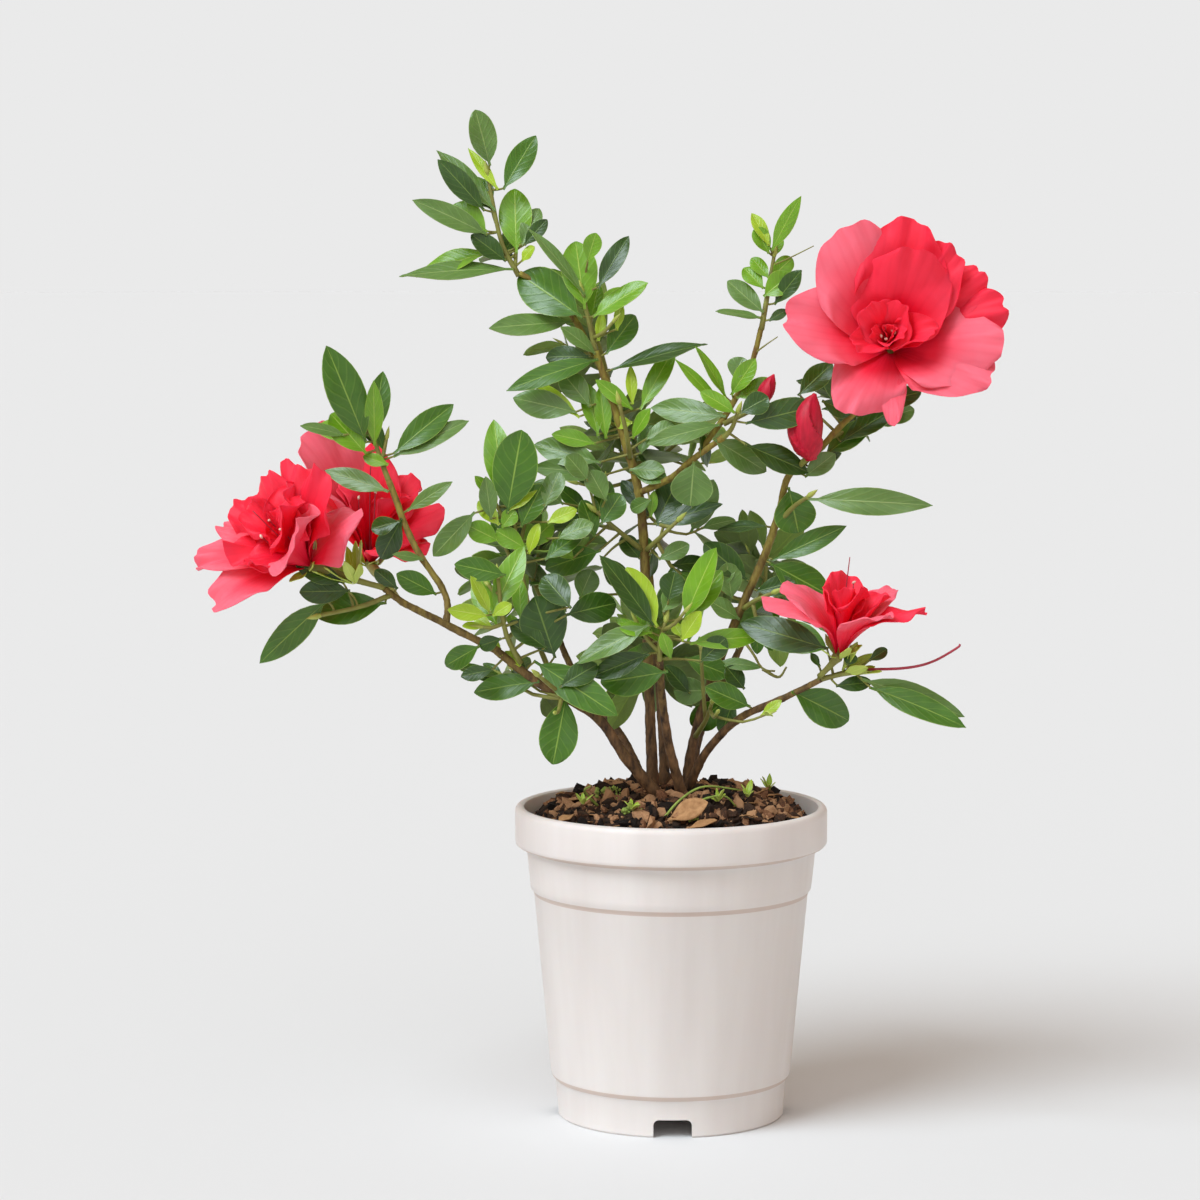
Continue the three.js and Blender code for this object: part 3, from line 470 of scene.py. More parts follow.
# Azalea bark: brown and flaking on the old wood, where its flakes are about 2 mm wide and three
# times as long, and green under a thin brown skin on the young wood higher up.
OLD_WOOD_HEIGHT = 0.185
YOUNG_WOOD_HEIGHT = 0.3
bark, tree, shader = new_finish("azalea bark", "5a4430", 0.72, 1.45)
flakes = cloudy(tree, on_piece(tree, (1.0, 1.0, 0.33)), 420.0, 5.0, 0.62)
old_wood = ramp(tree, flakes, (0.32, "24160c"), (0.68, "86623e"))
young_wood = ramp(tree, flakes, (0.3, "6b4a22"), (0.66, "9c9438"))
place = on_piece(tree)
height = add_node(tree, "ShaderNodeSeparateXYZ", None, {"Vector": place}).outputs["Z"]
uneven = sums(tree, "MULTIPLY_ADD", cloudy(tree, place, 90.0), 0.07, height)
youth = ranged(tree, uneven, OLD_WOOD_HEIGHT, YOUNG_WOOD_HEIGHT, 0.0, 1.0)
painted(tree, shader, blended(tree, youth, old_wood, young_wood), flakes, 0.8, 0.5)
in_place(wood, bark, "bark", *limbs)

# The foliage is leafy shoots. Each mass has a stem of its own that leaves a bough, twigs that turn
# about it by the golden angle, and a whorl of leaves at the end of each, as azaleas bear them. A
# leaf that would leave its mass's space, or touch a limb or another leaf, doesn't grow.
GOLDEN_ANGLE = 137.5
LEAF_SHAPE = 0.42
LEAF_SPACING = 5.5
LEAF_CLEARANCE = 0.7
LEAF_RINGS = ((0, 0), (0.36, 0.72), (0.7, 1), (1, 0))
LEAF_OUTLINE = ((1, -1), (1, 1), (2, -1), (2, 1), (3, 0))
LEAF_FOOT_ROOM = 0.2
MIDRIB_ROOM = (0.37, 0.45, 0.5, 0.3, 0.05)
LOWEST_LEAF = 126
SPACE_MARGIN = 1.3
BEAD_SPACING = 3
TWIG_END = 0.85
LEAST_SHARE = 0.1
WHORL = {
    "depth": 8, "share": 0.7, "root_sink": 0.2, "lowest_out": 78, "highest_out": 26, "out_sway": 20,
    "highest_scale": 0.66, "least_curl": 0.04, "curl_range": 0.14, "light_height": 0.75,
    "face_to_light": 0.9, "face_to_twig": 0.45, "face_sway": 0.7,
}
TWIG = {
    "radius": 1.2, "stem_scale": 1.3, "steps": 2, "stem_step": 11, "last": 0.8, "lowest_scale": 1.15,
    "highest_scale": 0.75, "middle_at": 0.55, "rise": 0.2, "out_sway": 20, "turn_sway": 30, "clearance": 0.5,
}
# Each mass: the heart and reach of its space, the limb that bears it and how far along, its stem,
# the way it faces, its twigs (how many, the first's place, spread and length), its leaves (how
# many to a whorl and how long), the turn of its first twig, and its seed.
MASSES = table_of(
    ("heart", "reach", "on", "at", "stem", "faces", "twigs", "first", "spread", "twig", "leaves",
     "leaf", "turn", "seed"), {
        "foliage_top": (
            (-70, 6, 352), 42, "bough_top", 1, ((-65, 6, 336), (-70, 6, 361)), -90, 5, 0.05, 37, 9, 3,
            34, 40, 224),
        "foliage_upper": (
            (-30, 0, 311), 38, "stem_centre", 1, ((-31, -2, 303), (-34, -4, 316)), -90, 4, 0.02, 73, 11,
            5, 33, 175, 389),
        "foliage_middle": (
            (-20, -22, 270), 39, "stem_centre", 0.68, ((-17, -12, 262), (-20, -17, 275)), -90, 4, 0.2,
            84, 25, 6, 23, 110, 361),
        "foliage_middle_right": (
            (25, -26, 272), 34, "bough_middle_right", 1, ((22, -24, 266), (24, -27, 272)), -90, 4, 0.3,
            50, 23, 7, 32, 325, 831),
        "foliage_upper_right": (
            (36, -14, 326), 28, "bough_upper_right", 1, ((36, -14, 318), (38, -13, 330)), -90, 1, 0.1,
            20, 5, 5, 24, 275, 256),
        "foliage_right": (
            (62, -20, 240), 36, "stem_right", 0.93, ((46, -14, 236), (51, -18, 240)), -90, 2, 0.3, 55,
            5, 3, 47, 285, 516),
        "foliage_right_crest": (
            (84, 4, 270), 29, "bough_right", 0.6, ((68, -6, 265), (76, -2, 271)), -90, 2, 0.4, 90, 21,
            6, 27, 345, 157),
        "foliage_right_low": (
            (38, -12, 198), 30, "stem_right", 0.6, ((32, -10, 200), (38, -13, 203)), -90, 1, 0.3, 103,
            12, 4, 33, 345, 279),
        "foliage_low_right": (
            (72, -52, 171), 31, "stem_low_right", 1, ((61, -48, 176), (67, -50, 177)), -90, 1, 0.3, 24,
            15, 5, 42, 245, 727),
        "foliage_low_centre": (
            (16, -24, 162), 30, "stem_right", 0.2, ((13, -10, 154), (15, -20, 162)), -90, 2, 0.5, 55,
            28, 5, 17, 135, 661),
        "foliage_front": (
            (-4, -46, 192), 35, "stem_front", 1, ((-5, -38, 187), (-3, -40, 195)), -90, 2, 0.2, 49, 12,
            8, 31, 175, 509),
        "foliage_centre": (
            (2, -2, 228), 36, "stem_centre", 0.42, ((-4, -7, 224), (2, -9, 230)), -90, 2, 0.3, 113, 21,
            4, 27, 355, 854),
        "foliage_centre_low": (
            (-32, -12, 232), 34, "stem_centre", 0.42, ((-20, -8, 226), (-29, -12, 234)), -90, 5, 0.3,
            64, 14, 4, 25, 210, 144),
        "foliage_centre_left": (
            (-68, -44, 208), 37, "stem_left", 0.82, ((-62, -42, 190), (-64, -46, 202), (-65, -46, 212)),
            -90, 4, 0.3, 84, 9, 6, 22, 60, 65),
        "foliage_centre_high": (
            (-60, -24, 246), 38, "stem_left", 0.66, ((-52, -26, 190), (-58, -24, 220), (-61, -26, 244)),
            -90, 5, 0.55, 30, 17, 6, 28, 125, 8),
        "foliage_low_left": (
            (-50, -48, 170), 40, "stem_left", 0.5, ((-44, -42, 170), (-50, -50, 176)), -90, 5, 0.2, 58,
            27, 3, 31, 120, 211),
        "foliage_left": (
            (-112, -30, 268), 36, "bough_left_upright", 1, ((-109, -32, 255), (-112, -32, 265)), -90, 3,
            0.1, 37, 7, 3, 34, 200, 458),
        "foliage_left_low": (
            (-128, -58, 190), 36, "bough_left", 0.85, ((-115, -52, 202), (-130, -57, 199)), -90, 1, 0.3,
            85, 10, 3, 42, 265, 321),
        "foliage_back_left": (
            (-58, 58, 212), 42, "stem_back_left", 1, ((-54, 55, 202), (-56, 59, 214)), 120, 4, 0.1, 89,
            15, 5, 33, 215, 223),
        "foliage_back_right": (
            (38, 56, 208), 40, "stem_back_right", 1, ((38, 51, 202), (38, 55, 214)), 60, 3, 0.1, 120,
            18, 3, 28, 180, 279),
        "foliage_behind": (
            (-12, 57, 256), 40, "stem_behind", 1, ((-14, 49, 252), (-14, 52, 266)), 90, 4, 0.1, 92, 21,
            6, 29, 205, 333),
        "foliage_back_top": (
            (-30, 36, 304), 37, "stem_centre", 0.86, ((-26, 14, 290), (-30, 26, 303)), 100, 2, 0.3, 30,
            20, 3, 28, 120, 588),
        "foliage_back_low": (
            (-8, 58, 176), 38, "stem_behind", 0.4, ((-8, 36, 172), (-8, 46, 178)), 90, 3, 0.2, 81, 7, 5,
            33, 321, 644),
    })
# Each bloom: the heart and reach of its space, the limb that bears it and how far along, the bend
# of its stalk, its throat and the way it faces.
BLOOMS = table_of(
    ("heart", "reach", "on", "at", "stalk", "throat", "faces"), {
        "bloom_right": (
            (84, -38, 303), 46, "bough_right", 1, (80, -22, 286), (81, -26, 296), (-0.12, -0.9, 0.35)),
        "bloom_left_front": (
            (-148, -70, 229), 38, "bough_left", 1, (-118, -53, 212), (-135, -60, 219),
            (-0.5, -0.62, 0.6)),
        "bloom_left_back": (
            (-116, 14, 245), 35, "bough_left", 0.72, (-106, -20, 205), (-116, 10, 214),
            (0.05, -0.42, 0.9)),
        "bloom_low_right": (
            (64, -52, 207), 30, "stem_low_right", 0.93, (58, -50, 180), (61, -52, 186),
            (0.1, -0.2, 0.97)),
    })
# Each bud: the limb that bears it and how far along, the end of its stalk, its tip and radius.
BUDS = table_of(
    ("on", "at", "stalk", "tip", "radius"), {
        "bud_large": ("bough_right", 0.3, (52, -21, 254), (53, -24, 279), 7),
        "bud_small": ("bough_upper_right", 0.2, (32, -18, 273), (38, -18, 286), 3.2),
    })
HEARTS = {name: (np.array(row["heart"], float), row["reach"]) for name, row in {**MASSES, **BLOOMS}.items()}


def number_stream(seed):
    """A source of even numbers from 0 to 1 that is the same each time for one seed."""
    state = seed * 7919 + 17
    while True:
        state = (state * 1664525 + 1013904223) % 2 ** 32
        yield state / 2 ** 32


def sway(draw, span):
    return span * (next(draw) - 0.5)


def varied(draw):
    return 1 + sway(draw, 0.3)


def leaning_out(axis, turn, out):
    """A direction that leans out from an axis by one angle, and turns about it by another."""
    right = unit(-np.cross(axis, side_for(axis)))
    other = np.cross(axis, right)
    turn = math.radians(turn)
    out = math.radians(out)
    return unit(axis * math.cos(out) + (right * math.cos(turn) + other * math.sin(turn)) * math.sin(out))


def depth_in_space(name, point):
    """How far a point lies inside the space of a mass: less than nothing is outside it."""
    own, own_reach = HEARTS[name]
    own_measure = float((point - own) @ (point - own)) - own_reach ** 2
    depth = math.inf
    for other, (heart, reach) in HEARTS.items():
        if other != name:
            measure = float((point - heart) @ (point - heart)) - reach ** 2
            depth = min(depth, (measure - own_measure) / (2 * float(np.linalg.norm(heart - own))))
    return depth


beads = []


def add_beads(owner, points, foot, tip):
    """Strings beads along a limb, which the leaves of other masses keep clear of."""
    count = math.ceil(length_of(points) / BEAD_SPACING)
    for i in range(count + 1):
        beads.append((owner, on_route(points, i / count), mix(foot, tip, i / count)))


for limb_name, limb in limbs.items():
    add_beads(limb_name, limb["points"], limb["foot"], limb["tip"])
for mass_name, mass in MASSES.items():
    foot = TWIG["radius"] * TWIG["stem_scale"]
    mass["points"] = [start_on(mass["on"], mass["at"], mass["stem"][0], foot)] + as_points(mass["stem"])
    add_beads(mass_name, mass["points"], foot, TWIG["radius"])
for bud_name, bud in BUDS.items():
    add_beads(bud_name, as_points([bud["stalk"], bud["tip"]]), bud["radius"], bud["radius"])
bead_owners, bead_centres, bead_radii = (np.array(column) for column in zip(*beads))


def is_clear(point, room, owner):
    away = np.linalg.norm(bead_centres - point, axis=1) > bead_radii + room
    return bool((away | (bead_owners == owner)).all())


def on_leaf(leaf, ring, side):
    """A point of a leaf's plain outline."""
    along, width = LEAF_RINGS[ring]
    across = np.cross(leaf["direction"], leaf["face"])
    droop = -leaf["curl"] * leaf["length"] * along ** 2
    return (leaf["root"] + leaf["direction"] * leaf["length"] * along
            + across * side * width * leaf["width"] / 2 + leaf["face"] * droop)


def midrib_of(leaf):
    near, broad, tip = (on_leaf(leaf, ring, 0) for ring in (1, 2, 3))
    return np.array([near, (near + broad) / 2, broad, (broad + tip) / 2, tip])


def new_leaf(root, direction, face, length, width, curl, age=0):
    """A leaf by its root, the way that it points and faces, its size, its curl and its age."""
    leaf = {
        "root": root, "direction": direction, "face": face, "length": length, "width": width,
        "curl": curl, "age": age,
    }
    return {**leaf, "midrib": midrib_of(leaf)}


def keeps_apart(leaf, other, spacing):
    apart = np.linalg.norm(leaf["midrib"][:, None] - other["midrib"][None, :], axis=2)
    return bool((apart > spacing).all())


def keeps_to_its_space(name, leaf):
    points = [on_leaf(leaf, ring, side) for ring, side in LEAF_OUTLINE]
    return all(depth_in_space(name, point) > SPACE_MARGIN and point[2] > LOWEST_LEAF for point in points)


def keeps_clear_of_limbs(name, leaf):
    foot = (leaf["root"] + leaf["midrib"][0]) / 2
    return is_clear(foot, leaf["width"] * LEAF_FOOT_ROOM + LEAF_CLEARANCE, name) and all(
        is_clear(point, leaf["width"] * share + LEAF_CLEARANCE, name)
        for point, share in zip(leaf["midrib"], MIDRIB_ROOM))


def make_twig(points, steps=None):
    length = sum(float(np.linalg.norm(b - a)) for a, b in zip(points, points[1:]))
    return {"points": points, "length": length, "steps": steps or math.ceil(length / TWIG["stem_step"])}


def on_twig(twig, share):
    ring = min(int(math.floor(share * twig["steps"])), twig["steps"] - 1)
    start = on_route(twig["points"], ring / twig["steps"])
    end = on_route(twig["points"], (ring + 1) / twig["steps"])
    return start + (end - start) * (share * twig["steps"] - ring)


def whorl(mass, name, twig, count, draw, earlier, spacing=LEAF_SPACING, scale=1.0, leaning=0.0, lower=0.0):
    """A whorl of leaves about the end of a twig, the lowest spread widest and longest. They tip
    their faces to the light."""
    axis = unit(on_twig(twig, 1) - on_twig(twig, TWIG_END))
    depth = min(WHORL["depth"] / twig["length"], WHORL["share"])
    facing = math.radians(mass["faces"])
    light = unit(np.array([math.cos(facing), math.sin(facing), WHORL["light_height"]]))
    first_turn = 360 * next(draw)
    leaves = []
    for i in range(count):
        step = i / (count - 1) if count > 1 else 1
        out = mix(WHORL["lowest_out"], WHORL["highest_out"], step) + sway(draw, WHORL["out_sway"]) - leaning
        length = mass["leaf"] * mix(1, WHORL["highest_scale"], step) * varied(draw) * scale
        direction = leaning_out(axis, first_turn + GOLDEN_ANGLE * i, out)
        face = light * WHORL["face_to_light"] + axis * WHORL["face_to_twig"]
        face[0] += sway(draw, WHORL["face_sway"])
        share = max(1 - depth * (1 - step) - lower, LEAST_SHARE)
        leaf = new_leaf(
            on_twig(twig, share) - axis * WHORL["root_sink"], direction, square_to(face, direction), length,
            length * LEAF_SHAPE * varied(draw), WHORL["least_curl"] + WHORL["curl_range"] * next(draw),
            1 - step)
        apart = all(keeps_apart(leaf, other, spacing) for other in earlier + leaves)
        if apart and keeps_to_its_space(name, leaf) and keeps_clear_of_limbs(name, leaf):
            leaves.append(leaf)
    return leaves


def side_twig(name, carrier, along, turn, out, length, room):
    """A twig that leaves a stem or another twig, and whether it keeps to its mass's space."""
    root = on_twig(carrier, along)
    heading = leaning_out(heading_on(carrier["points"], along), turn, out)
    middle = root + heading * length * TWIG["middle_at"]
    end = root + heading * length + UP * length * TWIG["rise"]
    fits = (depth_in_space(name, end) > SPACE_MARGIN * 2
            and is_clear(middle, room, name) and is_clear(end, room, name))
    return make_twig([root, middle, end], TWIG["steps"]), fits


def grow(name, mass):
    """The stem, twigs and whorls of a mass, as its solid has them."""
    draw = number_stream(mass["seed"])
    stem = make_twig(mass["points"])
    twigs = []
    sprays = [whorl(mass, name, stem, mass["leaves"] + 1, draw, [])]
    for i in range(mass["twigs"]):
        along = mix(mass["first"], TWIG["last"], i / (mass["twigs"] - 1) if mass["twigs"] > 1 else 0)
        out = mass["spread"] + sway(draw, TWIG["out_sway"])
        turn = mass["turn"] + GOLDEN_ANGLE * i + sway(draw, TWIG["turn_sway"])
        length = mass["twig"] * mix(TWIG["lowest_scale"], TWIG["highest_scale"], along) * varied(draw)
        twig, fits = side_twig(name, stem, along, turn, out, length, TWIG["radius"] + TWIG["clearance"])
        grown = whorl(mass, name, twig, mass["leaves"], draw, sum(sprays, []))
        if fits:
            twigs.append(twig)
            sprays.append(grown)
    return stem, twigs, sprays


# The shoots carry more than the solids show: young leaves that close up about each tip, a second
# whorl of older leaves below the first, and fine twigs between the others.
FINER_SEED = 1000
YOUNG_LEAVES = {"spacing": 1.62, "scale": 0.5, "leaning": 16}
YOUNG_COUNT = 4
OLD_LEAVES = {"spacing": 3.6, "scale": 0.86, "leaning": -8, "lower": 0.35}
OLD_AGE = 1.3
FINE_LEAVES = {"spacing": 3.6, "scale": 0.8}
FINE_COUNT = 5
FINE_TWIG = {
    "count": 3, "scale": 0.8, "along": (0.25, 0.75), "turn": 70, "turn_sway": 60, "out": (45, 75),
    "room": 1.0,
}


def grow_finer(name, mass, stem, twigs, sprays):
    """The young leaves at each tip, the old leaves below them and the fine twigs of a mass."""
    draw = number_stream(mass["seed"] + FINER_SEED)
    for twig, spray in zip([stem] + twigs, list(sprays)):
        spray += whorl(mass, name, twig, YOUNG_COUNT, draw, sum(sprays, []), **YOUNG_LEAVES)
        old = whorl(mass, name, twig, mass["leaves"], draw, sum(sprays, []), **OLD_LEAVES)
        spray += [{**leaf, "age": OLD_AGE} for leaf in old]
    fine = []
    for i in range(FINE_TWIG["count"]):
        carrier = stem if not twigs or i % 2 == 0 else twigs[i % len(twigs)]
        along = mix(*FINE_TWIG["along"], next(draw))
        turn = mass["turn"] + FINE_TWIG["turn"] + GOLDEN_ANGLE * i + sway(draw, FINE_TWIG["turn_sway"])
        out = mix(*FINE_TWIG["out"], next(draw))
        length = mass["twig"] * FINE_TWIG["scale"] * varied(draw)
        twig, fits = side_twig(name, carrier, along, turn, out, length, FINE_TWIG["room"])
        grown = whorl(mass, name, twig, FINE_COUNT, draw, sum(sprays, []), **FINE_LEAVES)
        if fits and len(grown) > 1:
            carrier["carries"] = True
            fine.append(twig)
            sprays.append(grown)
    return fine


# The leaves that show best from the front are set one by one. Each row gives the place of the
# leaf's root, across and up, its turn in the front view, its length and width, and how far it
# rolls from facing the front towards facing up. The grown leaves fill in behind these.
LEADING_LEAVES = {
    "foliage_top": {
        "grey": ((-69, 364, 103, 21, 11, 15), (-67, 347, 132, 33, 8.5, 35),
            (-70, 338, 152, 30, 9, 30), (-57, 334, 67, 16, 8, 30), (-60, 325, 179, 43, 10, 50)),
        "mature": ((-64, 355, 60, 24, 9.5, 25),),
        "deep": ((-71, 347, 131, 26, 9, 20), (-56, 334, 50, 13, 6, 20), (-63, 328, 140, 16, 8.5, 30)),
        "fresh": ((-70, 339, 142, 17, 11, 10), (-59, 331, 92, 25, 13, 5)),
        "young": ((-66, 355, 125, 20, 4.5, 20), (-57, 328, 54, 7, 5, 30)),
    },
    "foliage_upper": {
        "mature": ((-34, 307, 146, 30, 17, 8), (-25, 293, 54, 19, 10, 15), (-28, 291, 194, 35, 9, 35)),
        "fresh": ((-33, 310, 98, 26, 14, 12), (-32, 328, 74, 11, 7, 20), (-30, 307, 36, 24, 10, 35)),
        "deep": ((-28, 318, 61, 23, 8, 30), (-31, 292, 179, 17, 9, 20), (-23, 287, 20, 37, 9, 48)),
        "grey": ((-33, 315, 124, 33, 6, 50), (-38, 305, 182, 31, 10, 45), (-29, 293, 136, 16, 7, 40)),
        "young": ((-28, 298, 82, 11, 4, 30), (-21, 302, 81, 11, 4, 30)),
    },
    "foliage_middle": {
        "young": ((-35, 269, 141, 23, 5.5, 25), (-15, 274, 93, 15, 4.5, 35),
            (-15, 267, 180, 7, 5, 10)),
        "fresh": ((-28, 262, 102, 21, 8, 15), (-25, 261, 97, 20, 6.5, 40),
            (-29, 259, 166, 17, 7, 30), (-15, 272, 140, 18, 6, 30), (-12, 272, 62, 28, 8, 25),
            (-15, 261, 63, 13, 6, 40)),
        "grey": ((-36, 271, 167, 25, 11, 25), (-31, 273, 128, 18, 10, 25),
            (-27, 252, 164, 27, 11, 20), (-25, 247, 171, 28, 9, 40), (-16, 249, 2, 13, 8, 40),
            (-10, 261, 31, 12, 7, 50)),
    },
    "foliage_middle_right": {
        "fresh": ((20, 272, 132, 27, 5, 40), (20, 277, 116, 22, 5, 40), (22, 278, 59, 16, 7.5, 20),
            (24, 277, 24, 16, 8.5, 30), (23, 272, 146, 15, 7, 30)),
        "grey": ((23, 284, 69, 9, 9, 20), (20, 270, 172, 29, 10, 38), (18, 267, 191, 28, 8, 48),
            (15, 262, 329, 26, 11, 20), (8, 253, 266, 17, 16, 5)),
        "deep": ((27, 268, 14, 28, 12, 15), (25, 272, 30, 12, 9, 20), (27, 260, 337, 28, 10, 25),
            (10, 265, 288, 15, 7, 40)),
    },
    "foliage_upper_right": {
        "fresh": ((37, 332, 65, 22, 6.5, 25), (36, 331, 116, 11, 7, 15), (36, 322, 129, 10, 6, 20),
            (34, 318, 132, 11, 7, 25), (37, 322, 44, 11, 7, 25), (34, 315, 40, 13, 9.5, 15)),
        "young": ((36, 334, 115, 14, 5.5, 30),),
        "deep": ((38, 312, 54, 16, 7.5, 25), (36, 306, 31, 8, 4, 30)),
        "grey": ((34, 309, 138, 18, 8.5, 20), (33, 307, 167, 17, 5, 55)),
    },
    "foliage_right": {
        "grey": ((51, 239, 0, 44, 10.5, 25), (50, 247, 41, 14, 8, 25)),
        "mature": ((44, 243, 283, 18, 16, 5),),
        "deep": ((36, 228, 179, 19, 6, 55), (52, 250, 31, 13, 5, 40)),
    },
    "foliage_right_crest": {
        "mature": ((57, 255, 36, 24, 10, 30),),
        "deep": ((63, 260, 33, 28, 9, 40), (47, 278, 43, 18, 9, 20), (74, 274, 19, 20, 9, 30),
            (56, 276, 337, 12, 7, 20)),
        "grey": ((79, 268, 21, 13, 8, 20),),
    },
    "foliage_right_low": {
        "mature": ((38, 215, 26, 31, 8.5, 30), (37, 214, 332, 26, 13, 12)),
        "deep": ((32, 203, 15, 15, 8, 20), (29, 207, 139, 22, 11, 12)),
        "grey": ((23, 200, 99, 14, 10, 20), (26, 192, 144, 14, 8, 30)),
    },
    "foliage_low_right": {
        "grey": ((69, 175, 342, 42, 10, 15),),
        "mature": ((72, 172, 343, 36, 10, 30), (44, 169, 333, 27, 14, 8)),
        "deep": ((60, 172, 5, 14, 6, 20), (72, 182, 30, 8, 4.5, 20), (64, 180, 69, 5, 6, 20),
            (57, 186, 163, 34, 13, 15), (54, 179, 122, 6, 3, 20)),
    },
    "foliage_low_centre": {
        "young": ((4, 184, 69, 14, 5, 15), (4, 185, 119, 7, 4.5, 25), (5, 185, 80, 8, 5, 10)),
        "fresh": ((6, 183, 66, 14, 3, 20),),
        "mature": ((5, 177, 341, 18, 9.5, 20), (29, 162, 154, 18, 9.5, 15), (21, 161, 224, 18, 11, 8)),
        "deep": ((28, 165, 128, 11, 8, 15), (24, 161, 249, 14, 8, 20), (7, 163, 128, 14, 7, 30)),
        "grey": ((15, 164, 180, 14, 11, 10), (17, 175, 0, 17, 5, 45)),
    },
    "foliage_front": {
        "young": ((-6, 193, 117, 25, 11, 10), (3, 188, 60, 13, 7, 30)),
        "deep": ((-7, 193, 124, 33, 10, 25), (-9, 183, 201, 23, 9, 20), (-2, 203, 77, 11, 10, 15),
            (10, 180, 45, 13, 9, 25)),
        "fresh": ((4, 196, 69, 29, 11, 20), (4, 196, 53, 23, 10, 10), (6, 187, 9, 27, 8, 42),
            (-8, 191, 169, 12, 6, 35), (-1, 181, 107, 10, 5, 20)),
        "grey": ((18, 203, 79, 14, 9, 15), (-9, 194, 205, 30, 9.5, 25), (-4, 199, 56, 10, 8, 20)),
        "mature": ((-2, 176, 191, 26, 13.5, 5),),
    },
    "foliage_centre": {
        "deep": ((-6, 228, 65, 20, 12, 12), (-6, 228, 21, 26, 8.5, 30), (-12, 215, 129, 11, 8, 20)),
        "grey": ((-15, 248, 353, 13, 8, 30), (-8, 238, 209, 9, 6, 20), (-5, 215, 27, 13, 7, 30),
            (-12, 255, 72, 12, 7, 30)),
        "fresh": ((-8, 231, 83, 10, 4, 20),),
    },
    "foliage_centre_left": {
        "deep": ((-44, 181, 108, 24, 18, 5), (-40, 198, 13, 20, 12, 10), (-38, 201, 130, 16, 11, 15),
            (-47, 185, 142, 17, 9, 25), (-64, 189, 200, 9, 6, 20)),
        "fresh": ((-67, 199, 65, 27, 10, 10),),
        "young": ((-68, 199, 113, 15, 5.5, 20), (-69, 198, 168, 14, 6.5, 20),
            (-67, 198, 36, 8, 5, 25)),
        "mature": ((-62, 213, 166, 19, 9, 20),),
    },
    "foliage_centre_high": {
        "mature": ((-62, 234, 80, 31, 17.5, 3), (-57, 229, 64, 18, 10, 20), (-48, 217, 38, 18, 8, 30)),
        "fresh": ((-63, 239, 98, 31, 11, 20), (-64, 229, 54, 8, 6.5, 20),
            (-65, 224, 153, 13, 8.5, 15), (-55, 221, 46, 14, 8, 25), (-55, 221, 148, 13, 8, 15)),
        "young": ((-62, 235, 43, 16, 5.5, 30), (-65, 230, 132, 12, 6.5, 20),
            (-54, 219, 74, 12, 5, 30), (-47, 231, 27, 12, 6, 35)),
        "grey": ((-43, 225, 28, 14, 8, 30), (-74, 235, 226, 23, 9.5, 25), (-68, 232, 97, 16, 7, 25),
            (-48, 237, 67, 14, 9, 20)),
    },
    "foliage_centre_low": {
        "mature": ((-27, 219, 198, 23, 11, 15), (-29, 224, 107, 15, 8.5, 20),
            (-27, 229, 56, 14, 10, 15)),
        "grey": ((-41, 237, 148, 14, 10, 15), (-35, 200, 69, 12, 9.5, 15),
            (-32, 246, 126, 12, 9, 25), (-25, 238, 117, 13, 9, 20)),
        "deep": ((-27, 216, 312, 14, 9, 25),),
        "fresh": ((-37, 216, 135, 11, 7, 25),),
    },
    "foliage_low_left": {
        "mature": ((-52, 180, 329, 36, 13, 12), (-50, 172, 187, 25, 10, 25),
            (-40, 166, 259, 25, 14.5, 8), (-72, 186, 211, 16, 8.5, 20)),
        "deep": ((-67, 177, 189, 12, 6, 30), (-42, 171, 32, 16, 9, 25)),
        "young": ((-57, 178, 135, 8, 4, 20), (-64, 182, 125, 9, 4, 20)),
    },
    "foliage_left": {
        "mature": ((-114, 261, 110, 37, 14.5, 8), (-112, 263, 81, 25, 9, 25),
            (-104, 257, 41, 29, 10, 15)),
        "fresh": ((-111, 260, 90, 24, 7, 30), (-114, 257, 131, 20, 12.5, 10),
            (-106, 253, 161, 10, 5, 40)),
        "grey": ((-122, 264, 162, 16, 5, 40), (-104, 256, 27, 31, 8.5, 35),
            (-106, 243, 161, 26, 8, 32), (-99, 236, 34, 20, 6, 30)),
        "deep": ((-101, 233, 241, 19, 9.5, 15), (-102, 232, 196, 11, 7, 20)),
    },
    "foliage_left_low": {
        "mature": ((-106, 203, 188, 28, 12, 10), (-127, 205, 222, 38, 11, 12),
            (-88, 205, 149, 16, 8.5, 15)),
        "deep": ((-119, 208, 179, 18, 9.5, 20), (-121, 211, 157, 19, 8, 25),
            (-102, 208, 140, 11, 6, 30)),
        "grey": ((-93, 218, 166, 11, 4, 40),),
    },
}
LEADING_SEED = 2000
VIEW_PLACE = np.array([-27.3, -1400.0, 340.0])
LEAN_SWAY = 44
ROLL_SHARE = 0.8
ROLL_SWAY = 16
STALK_LEAST = 0.8
STALK_FORWARD = 1.6
STALK_SLOPE = 0.2
STALK_BEND = 0.35
STALK_DEPTH = 0.6
CARRIER_SPACING = 1.5
CARRIER_DEPTH_WEIGHT = 0.3
NEARLY_UPRIGHT = 0.96
COVER_MARGIN = 2.4
FAR_MARGIN = 8.0
WOOD_MARGIN = 1.5
FRONT_MARGIN = 1.2
COVER_WIDTH = 0.3
COVERED_SHARE = 0.75
LEADING_WIDTHS = np.array([0.1, 0.6, 0.85, 1, 1, 0.95, 0.7, 0.1])
FAR_SIDE = (
    "foliage_back_left", "foliage_back_right", "foliage_behind", "foliage_back_top",
    "foliage_back_low",
)


def seen(points):
    """Points as the front view has them, on the upright plane through the middle of the pot."""
    away = np.asarray(points) - VIEW_PLACE
    scale = -VIEW_PLACE[1] / away[..., 1]
    return np.stack([away[..., 0] * scale, away[..., 2] * scale], axis=-1)


